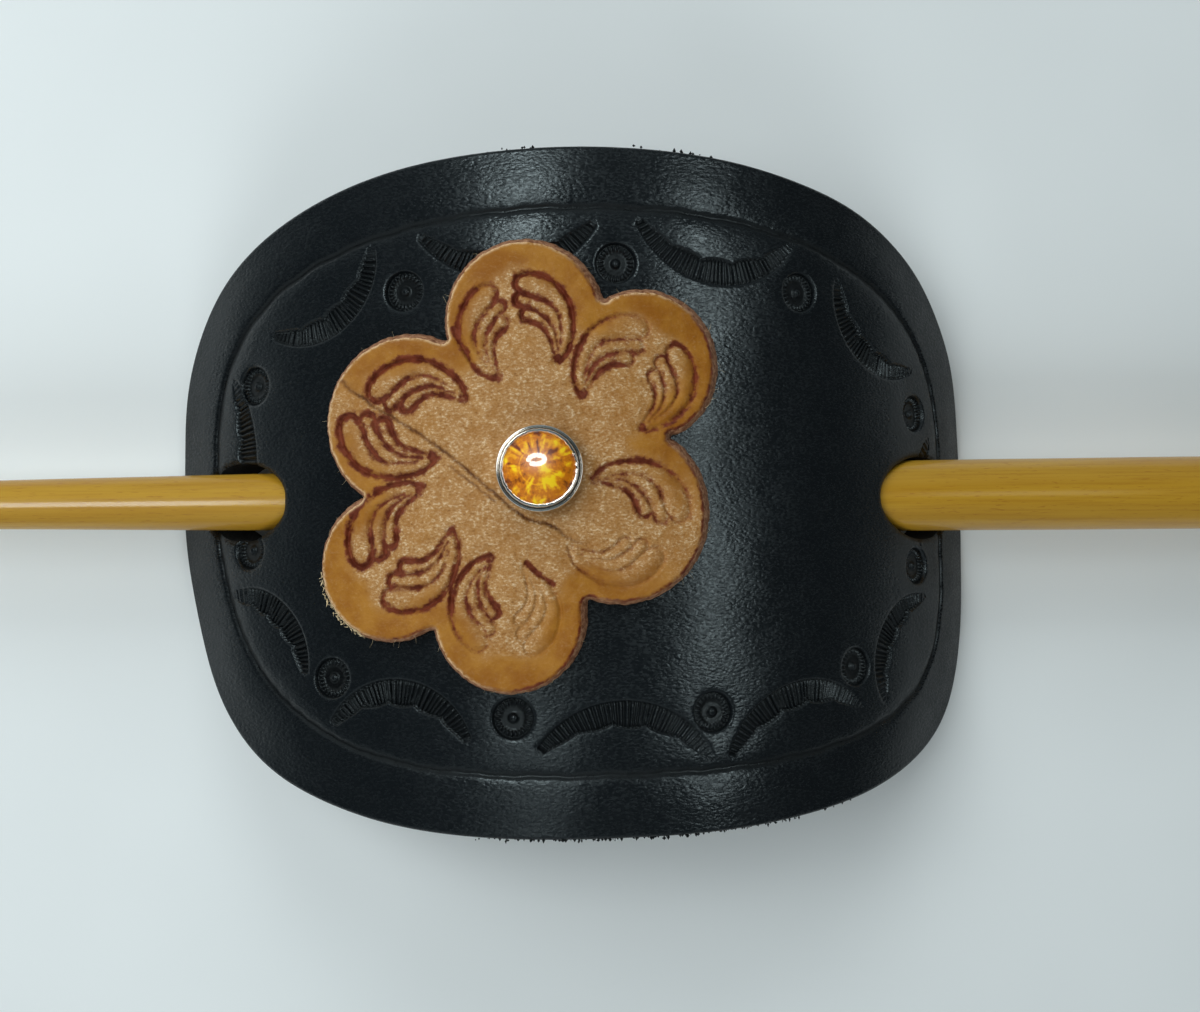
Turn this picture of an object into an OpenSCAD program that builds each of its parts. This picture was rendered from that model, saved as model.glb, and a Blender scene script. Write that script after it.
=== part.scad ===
// Leather hair barrette with a wooden stick, lying face up on its two ends. Millimetres, Z up.
// X runs along the stick, with its thick end at +X. The arch bends round a line parallel to Y.
// A place on the leather is given as [along the arch, across it] on the flat, unbent piece.

/* [Leather back] */
// Outer radius of the arch
arch_r = 60; // [57:0.5:64]
// Length of the flat leather, along the arch
leather_l = 104; // [101:0.5:108]
// Width of the flat leather, across the arch
leather_w = 70; // [66:1:76]
// Thickness of the leather
leather_t = 3; // [2.5:0.1:3.2]
// Distance from the edge to the middle of the pressed border line
border_inset = 6.3; // [5.5:0.1:7.5]
// Width of the pressed border line
border_w = 1.1; // [0.8:0.1:1.6]
// Depth of the pressed border line
border_depth = 0.45; // [0.3:0.05:0.8]
// Height of the flat that the leather rests on, above the sharp end edge
foot_cut = 0.4; // [0.2:0.05:0.6]

/* [Stick] */
// Length of the stick
stick_l = 170; // [150:1:190]
// Diameter at the thin end
stick_tip_d = 4.2; // [3.6:0.1:4.8]
// Diameter at the middle
stick_mid_d = 7.05; // [6.6:0.05:7.3]
// Diameter at the thick end
stick_butt_d = 8.45; // [7.8:0.05:8.9]
// Length of the rounded nose at the thin end
stick_nose_l = 4; // [2:0.5:8]
// Rounding of the thick end's rim
stick_rim_r = 1.2; // [0.6:0.1:2]
// Depth of the stick's axis below the crown of the arch
stick_drop = 14; // [13.5:0.1:14.5]
// Place of the stick's axis across the leather
stick_y = -0.5; // [-1.5:0.1:1.5]

/* [Stick holes] */
// Distance of each hole from the middle, along X
hole_x = 38; // [36:0.5:39]
// Room round the stick in the hole
hole_clear = 0.35; // [0.3:0.05:0.45]
// Width across the leather of the hole at the stick's thin end
hole_w = 8.9; // [8.8:0.1:10]
// Width across the leather of the hole at the stick's thick end
hole_thick_w = 9.7; // [9.4:0.1:10.4]
// Rounding of the holes' corners
hole_corner_r = 2.4; // [1.5:0.1:2.8]

/* [Flower] */
// Place of the flower's middle along the arch
flower_u = -8.9; // [-12:0.1:-6]
// Place of the flower's middle across the arch
flower_v = 2.3; // [0:0.1:5]
// Usual radius of a petal's round end
petal_r = 8; // [7.6:0.1:8.6]
// Radius of the flower's middle
flower_core_r = 11.5; // [10:0.5:13]
// Thickness of the flower's leather
flower_t = 2; // [1.5:0.1:2.6]

/* [Stone setting] */
// Place of the setting along the arch
setting_u = -6.6; // [-9:0.1:-5]
// Place of the setting across the arch
setting_v = 1.85; // [0:0.05:4]
// Outer diameter of the setting
setting_d = 8.6; // [8.2:0.1:9.4]
// Height of the setting above the flower
setting_h = 2.6; // [2.5:0.1:3]
// Diameter of the opening that shows the stone
stone_window_d = 7.2; // [6.8:0.1:7.4]
// Height of the stone's dome above its girdle
dome_h = 1.6; // [1.3:0.1:2]
// Number of facets round the stone's back
stone_facets = 12; // [8:1:16]
// Diameter of the rivet's post
post_d = 3; // [2.6:0.1:3.4]
// Diameter of the rivet's cap under the leather
cap_d = 8; // [7:0.5:9]
// Thickness of the rivet's cap
cap_t = 0.8; // [0.6:0.1:1]

/* [Hidden] */

// Squareness of each corner of the flat leather: [at the end, at the long side]
CORNERS = [
    [[3.1, 1.9], [2.2, 3.0]], // thin end of the stick: below, above
    [[2.7, 3.7], [2.15, 2.8]] // thick end of the stick: below, above
];
// Petals round the flower's middle: [direction in degrees, distance of the round end's centre, radius beyond petal_r]
PETALS = [
    [86, 14.7, -0.1], [38, 16.4, -0.6], [-25, 11.4, 0.9], [-93, 14.9, -0.4], [-142.5, 16.4, -0.7], [157, 12, 0.6]
];

GAP = 0.05;             // between pieces that lie on each other
OVER = 2;               // how far a cutter runs past what it cuts
STEPS = 20;             // points along each corner of the leather
SHIFT = 0.01;           // small step that gives an outline's direction, in degrees
ROUND = 128;            // sides of the large circles
SMALL = 64;             // sides of the small circles
CUT_TILT = 45;          // lean of the cut through each end, close to square with the leather
STICK_STEPS = 10;       // straight stretches along the stick's curved taper
END_STEPS = 5;          // straight stretches round each end of the stick

inner_r = arch_r - leather_t;
end_angle = angle(leather_l / 2);
end_s = arch_r * sin(end_angle - CUT_TILT);
end_low = sqrt(inner_r * inner_r - end_s * end_s) * cos(CUT_TILT) - end_s * sin(CUT_TILT);
axis_z = -end_low - foot_cut;
stick_z = axis_z + arch_r - stick_drop;
flower_r = arch_r + GAP;
flower_top_r = flower_r + flower_t;
stone_girdle_r = stone_window_d / 2 + 0.2;
girdle_t = 0.3;
back_h = 1.2;
base_t = 0.5;
stone_table_r = 1.7;
stone_low = base_t + GAP;

// Angle round the arch of a length along the flat leather
function angle(u) = u / arch_r * 180 / PI;

// Diameter of the stick at a distance from its middle, on a smooth curve through the three given sizes
function stick_d(x) = stick_mid_d + (stick_butt_d - stick_tip_d) * x / stick_l
    - (4 * stick_mid_d - 2 * stick_butt_d - 2 * stick_tip_d) * pow(x / stick_l, 2);

// Point of the flat leather's edge, for side 0 or 1 and t from -90 (below) to 90 (above)
function edge_point(side, t) = let(shape = CORNERS[side][t < 0 ? 0 : 1])
    [leather_l / 2 * pow(abs(cos(t)), 2 / shape[0]), sign(t) * leather_w / 2 * pow(abs(sin(t)), 2 / shape[1])];

// The same point moved inwards, square to the edge
function inset_point(side, t, inset) = let(
    held = max(-90 + SHIFT, min(90 - SHIFT, t)),
    before = edge_point(side, held - SHIFT),
    after = edge_point(side, held + SHIFT),
    run = (after - before) / norm(after - before)
) edge_point(side, t) + inset * [-run[1], run[0]];

// Half of the leather's outline, inset by a distance, as seen along the lean of the cut at that end
function half_outline(side, inset) = [
    for (i = [-STEPS : STEPS]) let(p = inset_point(side, 90 * i / STEPS, inset))
        [arch_r * sin(angle(max(0, p[0])) - CUT_TILT), p[1]]
];

// Straight prism through one end of the arch, which leaves all beyond the middle inside it
module end_prism(side, inset) {
    half = half_outline(side, inset);
    low = half[0][1];
    high = half[len(half) - 1][1];
    far = [[-2 * arch_r, high], [-2 * arch_r, low]];
    mirror([side == 0 ? 1 : 0, 0, 0])
        translate([0, 0, axis_z])
            rotate([0, CUT_TILT, 0])
                linear_extrude(height = 2 * (arch_r + OVER), center = true)
                    polygon(concat(half, far));
}

// All that lies within the outline, inset by a distance
module within_outline(inset) {
    intersection() {
        end_prism(0, inset);
        end_prism(1, inset);
    }
}

// Tube round the arch's axis, between two radii
module arch_tube(r_low, r_high) {
    translate([0, 0, axis_z])
        rotate([90, 0, 0])
            difference() {
                cylinder(h = leather_w + OVER, r = r_high, center = true, $fn = ROUND);
                cylinder(h = leather_w + 2 * OVER, r = r_low, center = true, $fn = ROUND);
            }
}

// Hole along X through one side of the arch, wider than it is high and with round corners
module stick_hole(side) {
    half_h = stick_d(side * hole_x) / 2 + hole_clear;
    half_w = (side < 0 ? hole_w : hole_thick_w) / 2;
    reach = arch_r / 2;
    mirror([side < 0 ? 1 : 0, 0, 0])
        translate([reach / 2 + OVER, stick_y, stick_z])
            rotate([90, 0, 90])
                linear_extrude(height = reach)
                    union() {
                        square([2 * half_w, 2 * (half_h - hole_corner_r)], center = true);
                        square([2 * (half_w - hole_corner_r), 2 * half_h], center = true);
                        for (across = [-1, 1], up = [-1, 1])
                            translate([across * (half_w - hole_corner_r), up * (half_h - hole_corner_r)])
                                circle(r = hole_corner_r, $fn = SMALL);
                    }
}

// Moves what is drawn round Z to stand square on the leather at a flat place, from the arch's axis
module on_arch(u, v) {
    translate([0, v, axis_z])
        rotate([0, angle(u), 0])
            children();
}

module leather_back() {
    color([0.09, 0.10, 0.11])
        difference() {
            intersection() {
                arch_tube(inner_r, arch_r);
                within_outline(0);
            }
            difference() {
                intersection() {
                    arch_tube(arch_r - border_depth, arch_r + OVER);
                    within_outline(border_inset - border_w / 2);
                }
                within_outline(border_inset + border_w / 2);
            }
            stick_hole(-1);
            stick_hole(1);
            on_arch(setting_u, setting_v)
                cylinder(h = arch_r + OVER, r = post_d / 2 + GAP, $fn = SMALL);
            translate([-arch_r, -leather_w, -arch_r])
                cube([2 * arch_r, 2 * leather_w, arch_r]);
        }
}

module leather_flower() {
    color([0.62, 0.42, 0.24])
        difference() {
            intersection() {
                arch_tube(flower_r, flower_top_r);
                on_arch(flower_u, flower_v)
                    linear_extrude(height = arch_r + leather_t + OVER)
                        union() {
                            circle(r = flower_core_r, $fn = SMALL);
                            for (petal = PETALS)
                                rotate(petal[0])
                                    translate([petal[1], 0])
                                        circle(r = petal_r + petal[2], $fn = SMALL);
                        }
            }
            on_arch(setting_u, setting_v)
                cylinder(h = arch_r + leather_t + OVER, r = post_d / 2 + GAP, $fn = SMALL);
        }
}

// Cup with a low outer ring and a taller inner one, its lip turned in over the stone
module bezel_setting() {
    lip_t = 0.3;
    step_h = setting_h - 0.7;
    wall_r = setting_d / 2;
    inner_wall_r = stone_girdle_r + GAP;
    ring_r = wall_r - 0.25;
    color([0.78, 0.78, 0.76])
        on_arch(setting_u, setting_v)
            translate([0, 0, flower_top_r + GAP])
                rotate_extrude($fn = SMALL)
                    polygon([
                        [0, 0], [wall_r - 0.3, 0], [wall_r, 0.3], [wall_r, step_h], [ring_r, step_h + 0.2],
                        [ring_r - 0.1, setting_h - 0.15], [ring_r - 0.25, setting_h],
                        [stone_window_d / 2 + 0.05, setting_h], [stone_window_d / 2, setting_h - lip_t],
                        [inner_wall_r, setting_h - lip_t - 0.15], [inner_wall_r, base_t], [0, base_t]
                    ]);
}

// Round dome over a faceted back that ends in a small flat table
module stone() {
    dome_r = (stone_girdle_r * stone_girdle_r + dome_h * dome_h) / (2 * dome_h);
    girdle_z = stone_low + back_h;
    slope = atan2(back_h, stone_girdle_r - stone_table_r);
    color([0.95, 0.55, 0.05])
        on_arch(setting_u, setting_v)
            translate([0, 0, flower_top_r + GAP])
                difference() {
                    intersection() {
                        translate([0, 0, stone_low])
                            cylinder(h = back_h + girdle_t + dome_h, r = stone_girdle_r, $fn = SMALL);
                        translate([0, 0, girdle_z + girdle_t + dome_h - dome_r])
                            sphere(r = dome_r, $fn = ROUND);
                    }
                    for (i = [0 : stone_facets - 1])
                        rotate([0, 0, i * 360 / stone_facets])
                            translate([stone_table_r, 0, stone_low])
                                rotate([0, -slope, 0])
                                    translate([0, -stone_girdle_r, -2 * back_h])
                                        cube([3 * stone_girdle_r, 2 * stone_girdle_r, 2 * back_h]);
                }
}

// Plain post through both leathers, with its cap against the inside of the arch
module rivet_back() {
    cap_top = sqrt(inner_r * inner_r - cap_d * cap_d / 4) - GAP;
    color([0.70, 0.70, 0.68])
        on_arch(setting_u, setting_v) {
            translate([0, 0, cap_top - cap_t])
                cylinder(h = cap_t, r = cap_d / 2, $fn = SMALL);
            translate([0, 0, cap_top - cap_t / 2])
                cylinder(h = flower_top_r - cap_top + cap_t / 2, r = post_d / 2, $fn = SMALL);
        }
}

module stick() {
    half = stick_l / 2;
    nose_r = stick_d(-half + stick_nose_l) / 2;
    rim_r = stick_d(half - stick_rim_r) / 2;
    nose = [
        for (i = [0 : END_STEPS - 1]) let(a = 90 * i / END_STEPS)
            [nose_r * sin(a), -half + stick_nose_l * (1 - cos(a))]
    ];
    shaft = [
        for (i = [0 : STICK_STEPS]) let(y = -half + stick_nose_l + (stick_l - stick_nose_l - stick_rim_r) * i / STICK_STEPS)
            [stick_d(y) / 2, y]
    ];
    rim = [
        for (i = [1 : END_STEPS]) let(a = 90 * i / END_STEPS)
            [rim_r - stick_rim_r * (1 - cos(a)), half - stick_rim_r * (1 - sin(a))]
    ];
    color([0.78, 0.58, 0.25])
        translate([0, stick_y, stick_z])
            rotate([0, 90, 0])
                rotate_extrude($fn = SMALL)
                    polygon(concat(nose, shaft, rim, [[0, half]]));
}

leather_back();
leather_flower();
bezel_setting();
stone();
rivet_back();
stick();
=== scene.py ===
"""Looks of a leather hair barrette with a stick: tooled black leather, a tan leather flower, a stone rivet.

Lengths are millimetres in the part's own frame, and turn into metres where a mesh or a light is made.
A place on the black leather is (u, v): along the arch and across it, on the flat, unbent piece.
A place on the flower is (s, t): the same two directions on the plane that touches the arch at its middle.
"""

import math

import bpy
import numpy as np
from mathutils import Matrix, Vector, kdtree
from mathutils.geometry import delaunay_2d_cdt


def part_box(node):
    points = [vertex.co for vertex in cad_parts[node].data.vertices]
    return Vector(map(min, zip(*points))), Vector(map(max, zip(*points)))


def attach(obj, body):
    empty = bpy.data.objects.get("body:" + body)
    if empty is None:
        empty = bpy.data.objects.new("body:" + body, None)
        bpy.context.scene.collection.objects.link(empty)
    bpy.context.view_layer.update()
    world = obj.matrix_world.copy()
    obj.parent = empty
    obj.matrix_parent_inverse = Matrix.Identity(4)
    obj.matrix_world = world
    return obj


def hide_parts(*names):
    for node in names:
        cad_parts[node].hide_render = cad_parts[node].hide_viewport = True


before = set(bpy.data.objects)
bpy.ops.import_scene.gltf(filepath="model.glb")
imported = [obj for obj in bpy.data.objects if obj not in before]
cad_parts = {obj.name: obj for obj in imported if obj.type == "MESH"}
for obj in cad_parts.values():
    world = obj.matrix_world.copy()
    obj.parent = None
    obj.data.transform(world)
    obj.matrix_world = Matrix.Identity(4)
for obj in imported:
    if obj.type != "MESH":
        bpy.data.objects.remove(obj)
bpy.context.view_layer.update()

MM = 0.001

# Camera: the photograph's frame in pixels, its focal length in pixels, and the camera's place and turns
PHOTO_WIDE = 1200
SENSOR_WIDE = 36.0
FOCAL_PX = 1300.0
CAMERA_AT = (-15.516, -7.218, 153.30)
CAMERA_TURNS = {"X": 0.0427, "Y": -0.1128, "Z": -0.0074}
CAMERA_NEAREST = 0.005

# Arch and flat leather
ARCH_R = 60.0
LEATHER_L = 104.0
LEATHER_W = 70.0
LEATHER_T = 3.0
AXIS_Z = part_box("leather_back")[1].z / MM - ARCH_R
INNER_R = ARCH_R - LEATHER_T
EDGE_POINTS = 720
# Steps between points in the plain parts: top and underside of the black leather, and of the flower
BACK_CORNERS = ((-LEATHER_L / 2, -LEATHER_W / 2), (LEATHER_L / 2, LEATHER_W / 2))
BACK_PITCH, UNDER_PITCH = 0.95, 1.4
FLOWER_PITCH, FLOWER_UNDER_PITCH = 0.27, 1.2
EDGE_GROW = 0.15
# Where the real edge is fuller still: direction in degrees on the outline made round, half width, growth
FULLER = [(-137, 13, 1.1), (160, 14, 0.35), (10, 26, 0.3), (-38, 12, 0.5), (52, 12, 0.25)]
EDGE_ROUND = 0.35
UNDER_ROUND = 0.4
# How far the side of the leather stands back from its edge
SIDE_IN = 0.05
# Border line: distance from the edge, its depth and half width, and the same of the soft sag beside it
BORDER_IN, BORDER_DEEP, BORDER_WIDE = 6.15, 0.20, 0.28
SAG_IN, SAG_DEEP, SAG_WIDE = 6.4, 0.10, 0.8
# Squareness of each corner: [at the end, at the long side], below and above, at the thin and the thick end
CORNERS = {-1: {-1: (3.1, 1.9), 1: (2.2, 3.0)}, 1: {-1: (2.7, 3.7), 1: (2.15, 2.8)}}

# Stick and its holes. The holes have their room above and below the stick, their width at the thin and the
# thick end, and half the length of the straight stretch at their sides
STICK_L = 170.0
STICK_TIP_D = 4.2
STICK_MID_D = 7.05
STICK_BUTT_D = 8.45
STICK_NOSE_L = 4.0
STICK_RIM_R = 1.2
STICK_Y = -0.5
# What the real stick is thicker by in radius, and how it lies in its holes: shift in y at its middle, slope
STICK_GROW = 0.10
STICK_LIE = (0.15, 0.0035)
STICK_Z = AXIS_Z + ARCH_R - 14.0
HOLE_X = 38.0
HOLE_CLEAR = 0.60
HOLE_W = {-1: 8.1, 1: 9.2}
HOLE_FLAT = 0.1
# Rounding of the holes' lips: growth of the mouth, and how deep and how far the top sinks towards it
LIP = 0.14
LIP_DEEP, LIP_REACH = 0.28, 0.5

# Flower
FLOWER_U = -8.9
FLOWER_V = 2.3
FLOWER_TURN = FLOWER_U / ARCH_R
FLOWER_R = ARCH_R + 0.05
FLOWER_T = 2.0
FLOWER_TOP_R = FLOWER_R + FLOWER_T
PETAL_R = 8.0
# Depths of the stamped cuts, the single strokes, the fold, and the bevelled rim with its width
CUT_DEEP, STROKE_DEEP, FOLD_DEEP, RIM_DEEP, RIM_WIDE = 0.42, 0.38, 0.20, 0.20, 0.40
NOTCH_R = 0.5
# Flower's edge: direction that it faces in degrees, growth of the foot, how far the top stands back from it
FLOWER_EDGE = [
    (-180, 0.40, 0.35), (-135, 0.35, 0.38), (-90, 0.30, 0.32), (-45, 0.15, 0.36), (0, 0.05, 0.60),
    (45, 0.30, 0.66), (90, 0.45, 0.56), (135, 0.50, 0.52), (180, 0.40, 0.35),
]
# Petals: direction in degrees and distance of the round end's centre, and its radius beyond PETAL_R
PETALS = [
    (86, 14.7, -0.1), (38, 16.4, -0.6), (-25, 11.4, 0.9),
    (-93, 14.9, -0.4), (-142.5, 16.4, -0.7), (157, 12, 0.6),
]

# Stone setting
SETTING_U = -6.6
SETTING_V = 1.85
SETTING_TURN = SETTING_U / ARCH_R
SETTING_BASE_R = FLOWER_TOP_R + 0.05
# Corners round the setting and the stone, and round the stick
ROUND_SIDES = 192
STICK_SIDES = 96
POST_R = 1.55
POST_ROOM_TOP = 0.1
POST_ROOM_BELOW = 0.05

# Painted glints and, where the gain is below 0, painted dark reflections in the foil under the stone: x, y,
# width, height, gain
PAINTED_GLINTS = [
    (1.79, 2.33, 0.34, 0.34, 0.9), (2.33, 1.60, 0.26, 0.40, 0.7), (-3.35, 0.69, 0.24, 0.52, 0.8),
    (-2.44, -0.19, 0.26, 0.28, 0.6), (0.57, -0.23, 0.52, 0.44, 0.8), (1.72, -0.84, 0.46, 0.36, 0.8),
    (0.88, -1.45, 0.66, 0.50, 0.8), (-0.37, -3.30, 0.26, 0.30, 0.8), (0.34, -3.30, 0.22, 0.34, 0.8),
    (2.90, 0.23, 0.20, 0.26, 0.5), (-1.18, 2.14, 0.20, 0.46, 0.55), (-1.64, 1.64, 0.22, 0.26, 0.45),
    (0.35, 3.00, 0.16, 0.42, 0.5), (0.25, 2.10, 0.14, 0.32, 0.4), (1.07, 2.60, 0.32, 0.28, 0.35),
    (-1.18, -1.76, 0.16, 0.34, 0.5), (-0.92, -2.37, 0.16, 0.34, 0.4), (-1.80, -3.10, 0.24, 0.20, 0.5),
    (-2.50, 1.00, 0.70, 0.60, 0.2), (1.60, 0.85, 0.45, 0.12, 0.4), (-0.20, 3.50, 0.60, 0.30, -0.3),
    (0.76, 3.05, 0.30, 0.26, -0.3), (1.37, 1.53, 0.40, 0.34, -0.35), (-1.45, -1.37, 0.40, 0.30, -0.3),
    (-0.45, 0.38, 0.60, 0.55, -0.12), (-3.10, -1.10, 0.50, 1.20, -0.2), (2.60, -2.00, 0.90, 0.80, -0.12),
]

# Round stamps pressed into the black leather: u, v
ROUND_STAMPS = [
    (-39.6, 12.0), (-20.8, 20.7), (1.3, 23.1), (22.0, 21.1), (40.2, 9.1), (40.1, -8.3),
    (29.1, -19.1), (11.0, -22.9), (-9.7, -23.0), (-29.3, -19.1), (-40.4, -5.7),
]
# Ribbed crescent stamps: u, v of one end, of the middle of the convex side and of the other end, and the
# share of the length over which each end fades out
CRESCENTS = [
    ((-37.0, 16.9), (-27.75, 17.25), (-24.0, 25.7), (0.0, 0.1)),
    ((-19.3, 26.0), (-9.8, 21.5), (-0.6, 27.0), (0.0, 0.0)),
    ((3.4, 27.4), (12.6, 21.2), (21.6, 26.0), (0.0, 0.2)),
    ((26.9, 22.9), (30.5, 14.4), (39.8, 13.6), (0.1, 0.1)),
    ((42.8, 6.6), (39.9, 1.5), (40.6, -5.9), (0.2, 0.2)),
    ((41.5, -11.4), (33.65, -14.85), (33.2, -23.4), (0.2, 0.2)),
    ((30.0, -23.0), (20.1, -20.35), (12.6, -27.4), (0.3, 0.0)),
    ((11.2, -27.4), (1.2, -21.4), (-7.4, -26.1), (0.2, 0.0)),
    ((-13.9, -25.2), (-21.6, -19.1), (-29.5, -23.6), (0.0, 0.0)),
    ((-32.3, -18.7), (-35.6, -11.3), (-43.3, -10.2), (0.0, 0.3)),
    ((-41.6, -3.5), (-39.4, 4.5), (-42.3, 13.0), (0.0, 0.2)),
]
RIB_PITCH = 0.57

# Shell stamp of the flower, as its three cut lines: x from tail to head, y towards the bulge, depth share
SHELL = {
    "outer": [
        (0.1, 0.3, 0.9), (0.9, 1.9, 0.9), (2.6, 3.2, 1.0), (4.8, 4.0, 1.0), (7.0, 3.85, 1.0), (8.9, 2.9, 1.0),
        (10.1, 1.4, 1.0), (10.15, 0.2, 1.0), (9.3, -0.4, 1.0), (8.3, 0.0, 1.0), (7.5, 0.85, 0.9),
        (6.4, 1.9, 0.9), (5.0, 2.45, 0.7), (3.5, 2.2, 0.5), (1.8, 1.3, 0.5),
    ],
    "middle": [
        (8.45, 0.15, 0.7), (8.5, -0.45, 0.9), (8.15, -0.98, 1.0), (7.55, -1.08, 1.0), (7.05, -0.7, 1.0),
        (6.6, -0.05, 0.9), (5.8, 0.6, 0.9), (4.7, 1.2, 0.8), (3.2, 1.35, 0.6), (1.4, 0.8, 0.5),
    ],
    "inner": [
        (6.75, -0.15, 0.7), (6.75, -0.7, 0.9), (6.4, -1.15, 1.0), (5.85, -1.18, 1.0), (5.4, -0.8, 1.0),
        (4.9, -0.2, 0.9), (4.1, 0.35, 0.9), (3.0, 0.55, 0.8), (1.2, 0.3, 0.6),
    ],
}
# Where it was struck: s, t of the tail, direction in degrees, side of the bulge, scale, depth, fading to the
# head, stain
SHELL_PLACES = [
    (4.1, 10.1, 115, -1, 0.95, 1.00, 0.0, 1.0), (-1.4, 8.5, 95, 1, 0.96, 0.85, 0.2, 0.9),
    (6.6, 6.6, 47, 1, 1.00, 0.90, 0.6, 1.0), (12.1, 3.5, 67, -1, 0.94, 0.70, 0.0, 0.8),
    (7.2, -1.6, -23, 1, 1.03, 0.85, 0.5, 0.9), (5.0, -8.0, -4, -1, 0.95, 0.70, 0.3, 0.55),
    (-2.3, -8.8, -97, -1, 0.95, 0.95, 0.6, 1.0), (0.4, -9.9, -86, 1, 0.88, 0.75, 0.3, 0.3),
    (-9.2, -2.1, -131, -1, 1.04, 0.95, 0.0, 1.0), (-6.6, -6.0, -135, 1, 1.02, 0.90, 0.0, 0.9),
    (-4.9, 6.5, 176, -1, 1.02, 1.00, 0.0, 1.0), (-7.8, 1.2, 157, 1, 1.09, 1.00, 0.0, 1.0),
]
# Single strokes of the tool: s, t along each
STROKES = [
    [(0.9, -9.7), (2.0, -10.8), (3.5, -11.9)],
    [(-6.2, -9.9), (-6.7, -12.0), (-6.6, -14.4)],
    [(-6.3, 13.8), (-5.6, 12.4), (-4.8, 11.4)],
]
# Old fold across the flower: s, t along it, and the second crack beside it
CREASE = [
    (-18.1, 9.1), (-16.9, 7.9), (-15.8, 7.3), (-14.5, 6.2), (-13.0, 5.4), (-11.5, 4.4), (-10.0, 3.5),
    (-8.5, 2.4), (-7.1, 1.4), (-5.5, 0.1), (-4.0, -1.2), (-2.5, -2.5), (0.0, -4.6), (1.2, -5.4), (2.5, -5.7),
    (3.8, -6.2), (5.0, -7.2), (6.0, -7.7), (7.2, -8.0),
]
SIDE_CRACK = [(-6.6, 0.0), (-5.4, -1.0), (-4.3, -1.8), (-3.0, -2.9), (-2.2, -3.5)]

# Crumbs on the black edge: lowest and highest u, side, how many; and hairs on the flower's edge
CRUMB_RUNS = [(-14, 22, -1, 130), (-4, 16, -1, 60), (24, 30, -1, 16), (3, 12, 1, 22), (-12, -6, 1, 8)]
HAIR_COUNT = 60
TATTER_COUNT = 90
# Frayed stretch of the flower's edge: s, t of its middle, and its half length
FRAYED_AT = (-19.0, -14.2)
FRAYED_REACH = 4.2
SEEDS = {"crumbs": 11, "hairs": 23, "tatters": 31, "foil": 5}
# Pale grainy spots near the flower's edge: s, t, half width
PALE_SPOTS = [(17.5, -7.0, 5.3), (-18.0, 6.0, 2.6)]

# Soft lights for the even light, and lamps that only make highlights. Each has the slope (x and y per unit of
# height) of its middle, its half widths in the same measure, its height in metres and its radiance
SOFT_LIGHTS = {
    "overhead": ((-0.50, 0.10), (0.40, 0.35), 0.28, 2.8),
    "window": ((-1.15, 0.60), (0.35, 0.40), 0.28, 4.0),
    "front": ((0.0, -1.50), (0.60, 0.40), 0.28, 3.2),
    "rear": ((0.0, 1.50), (0.60, 0.40), 0.28, 3.0),
}
SHINE_LAMPS = {
    "left_far": ((-0.24, -0.34), (0.11, 0.06), 0.36, 2.4),
    "left_low": ((-0.18, -0.08), (0.08, 0.07), 0.36, 2.4),
    "left_mid": ((-0.24, 0.10), (0.10, 0.09), 0.36, 4.5),
    "left_high": ((-0.24, 0.37), (0.10, 0.11), 0.36, 11.0),
    "right_low": ((0.62, -0.10), (0.09, 0.07), 0.36, 7.5),
    "right_mid": ((0.58, 0.00), (0.07, 0.04), 0.36, 3.0),
    "right_up": ((0.56, 0.11), (0.07, 0.06), 0.36, 1.3),
    "right_high": ((0.56, 0.27), (0.09, 0.09), 0.36, 8.5),
}
STICK_LAMPS = {
    "stick_left": ((-0.50, -0.07), (0.24, 0.17), 0.36, 11.0),
    "stick_right": ((0.55, 0.02), (0.10, 0.12), 0.36, 1.5),
}
CUP_LAMPS = {
    "cup_left": ((-1.20, 0.80), (0.70, 0.70), 0.36, 4.5),
    "cup_right": ((1.40, -0.20), (0.40, 0.90), 0.36, 1.4),
}
# Ring lamp: direction, distance, half width and height, thickness, radiance, and the degrees that shine
RING_TOWARDS = (-0.24, 0.36, 1.0)
RING_FAR = 0.60
RING_HALF = (0.176, 0.100)
RING_THICK = 0.118
RING_RADIANCE = 22.0
RING_START = -128
RING_SPAN = 298
RING_COUNT = 15
COOL = (0.90, 0.985, 1.0)
SHINE_TINT = (0.78, 0.96, 1.0)
WARM = (1.0, 0.97, 0.90)
ROOM_LIGHT = (0.28, 0.335, 0.35)
ROOM_RIGHT = (0.12, 0.145, 0.15)
ROOM_DARK = (0.035, 0.039, 0.041)
FLOOR_HALF = 3.0


# Measuring on the flat

def resample(loop, count):
    """Points spread evenly along a closed line."""
    closed = np.vstack([loop, loop[:1]])
    run = np.r_[0, np.cumsum(np.hypot(*np.diff(closed, axis=0).T))]
    at = np.linspace(0, run[-1], count, endpoint=False)
    return np.c_[np.interp(at, run, closed[:, 0]), np.interp(at, run, closed[:, 1])]


def inward(loop, distance):
    """The closed line, counterclockwise, moved inwards square to itself."""
    run = np.roll(loop, -1, 0) - np.roll(loop, 1, 0)
    run /= np.hypot(run[:, 0], run[:, 1])[:, None]
    return loop + distance * np.c_[-run[:, 1], run[:, 0]]


def facing_of(loop):
    """Direction in degrees that each point of a closed line, counterclockwise, faces."""
    run = np.roll(loop, -4, 0) - np.roll(loop, 4, 0)
    return np.degrees(np.arctan2(-run[:, 0], run[:, 1]))


def spline(knots, steps):
    """Smooth open line through the knots, which may carry more than two columns."""
    knots = np.array(knots, float)
    padded = np.vstack([2 * knots[0] - knots[1], knots, 2 * knots[-1] - knots[-2]])
    share = np.linspace(0, 1, steps, endpoint=False)[:, None]
    parts = []
    for a, b, c, d in zip(padded, padded[1:], padded[2:], padded[3:]):
        cubic = share * (2 * a - 5 * b + 4 * c - d + share * (3 * (b - c) + d - a))
        parts.append(b + 0.5 * share * (c - a + cubic))
    return np.vstack(parts + [knots[-1:]])


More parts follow.
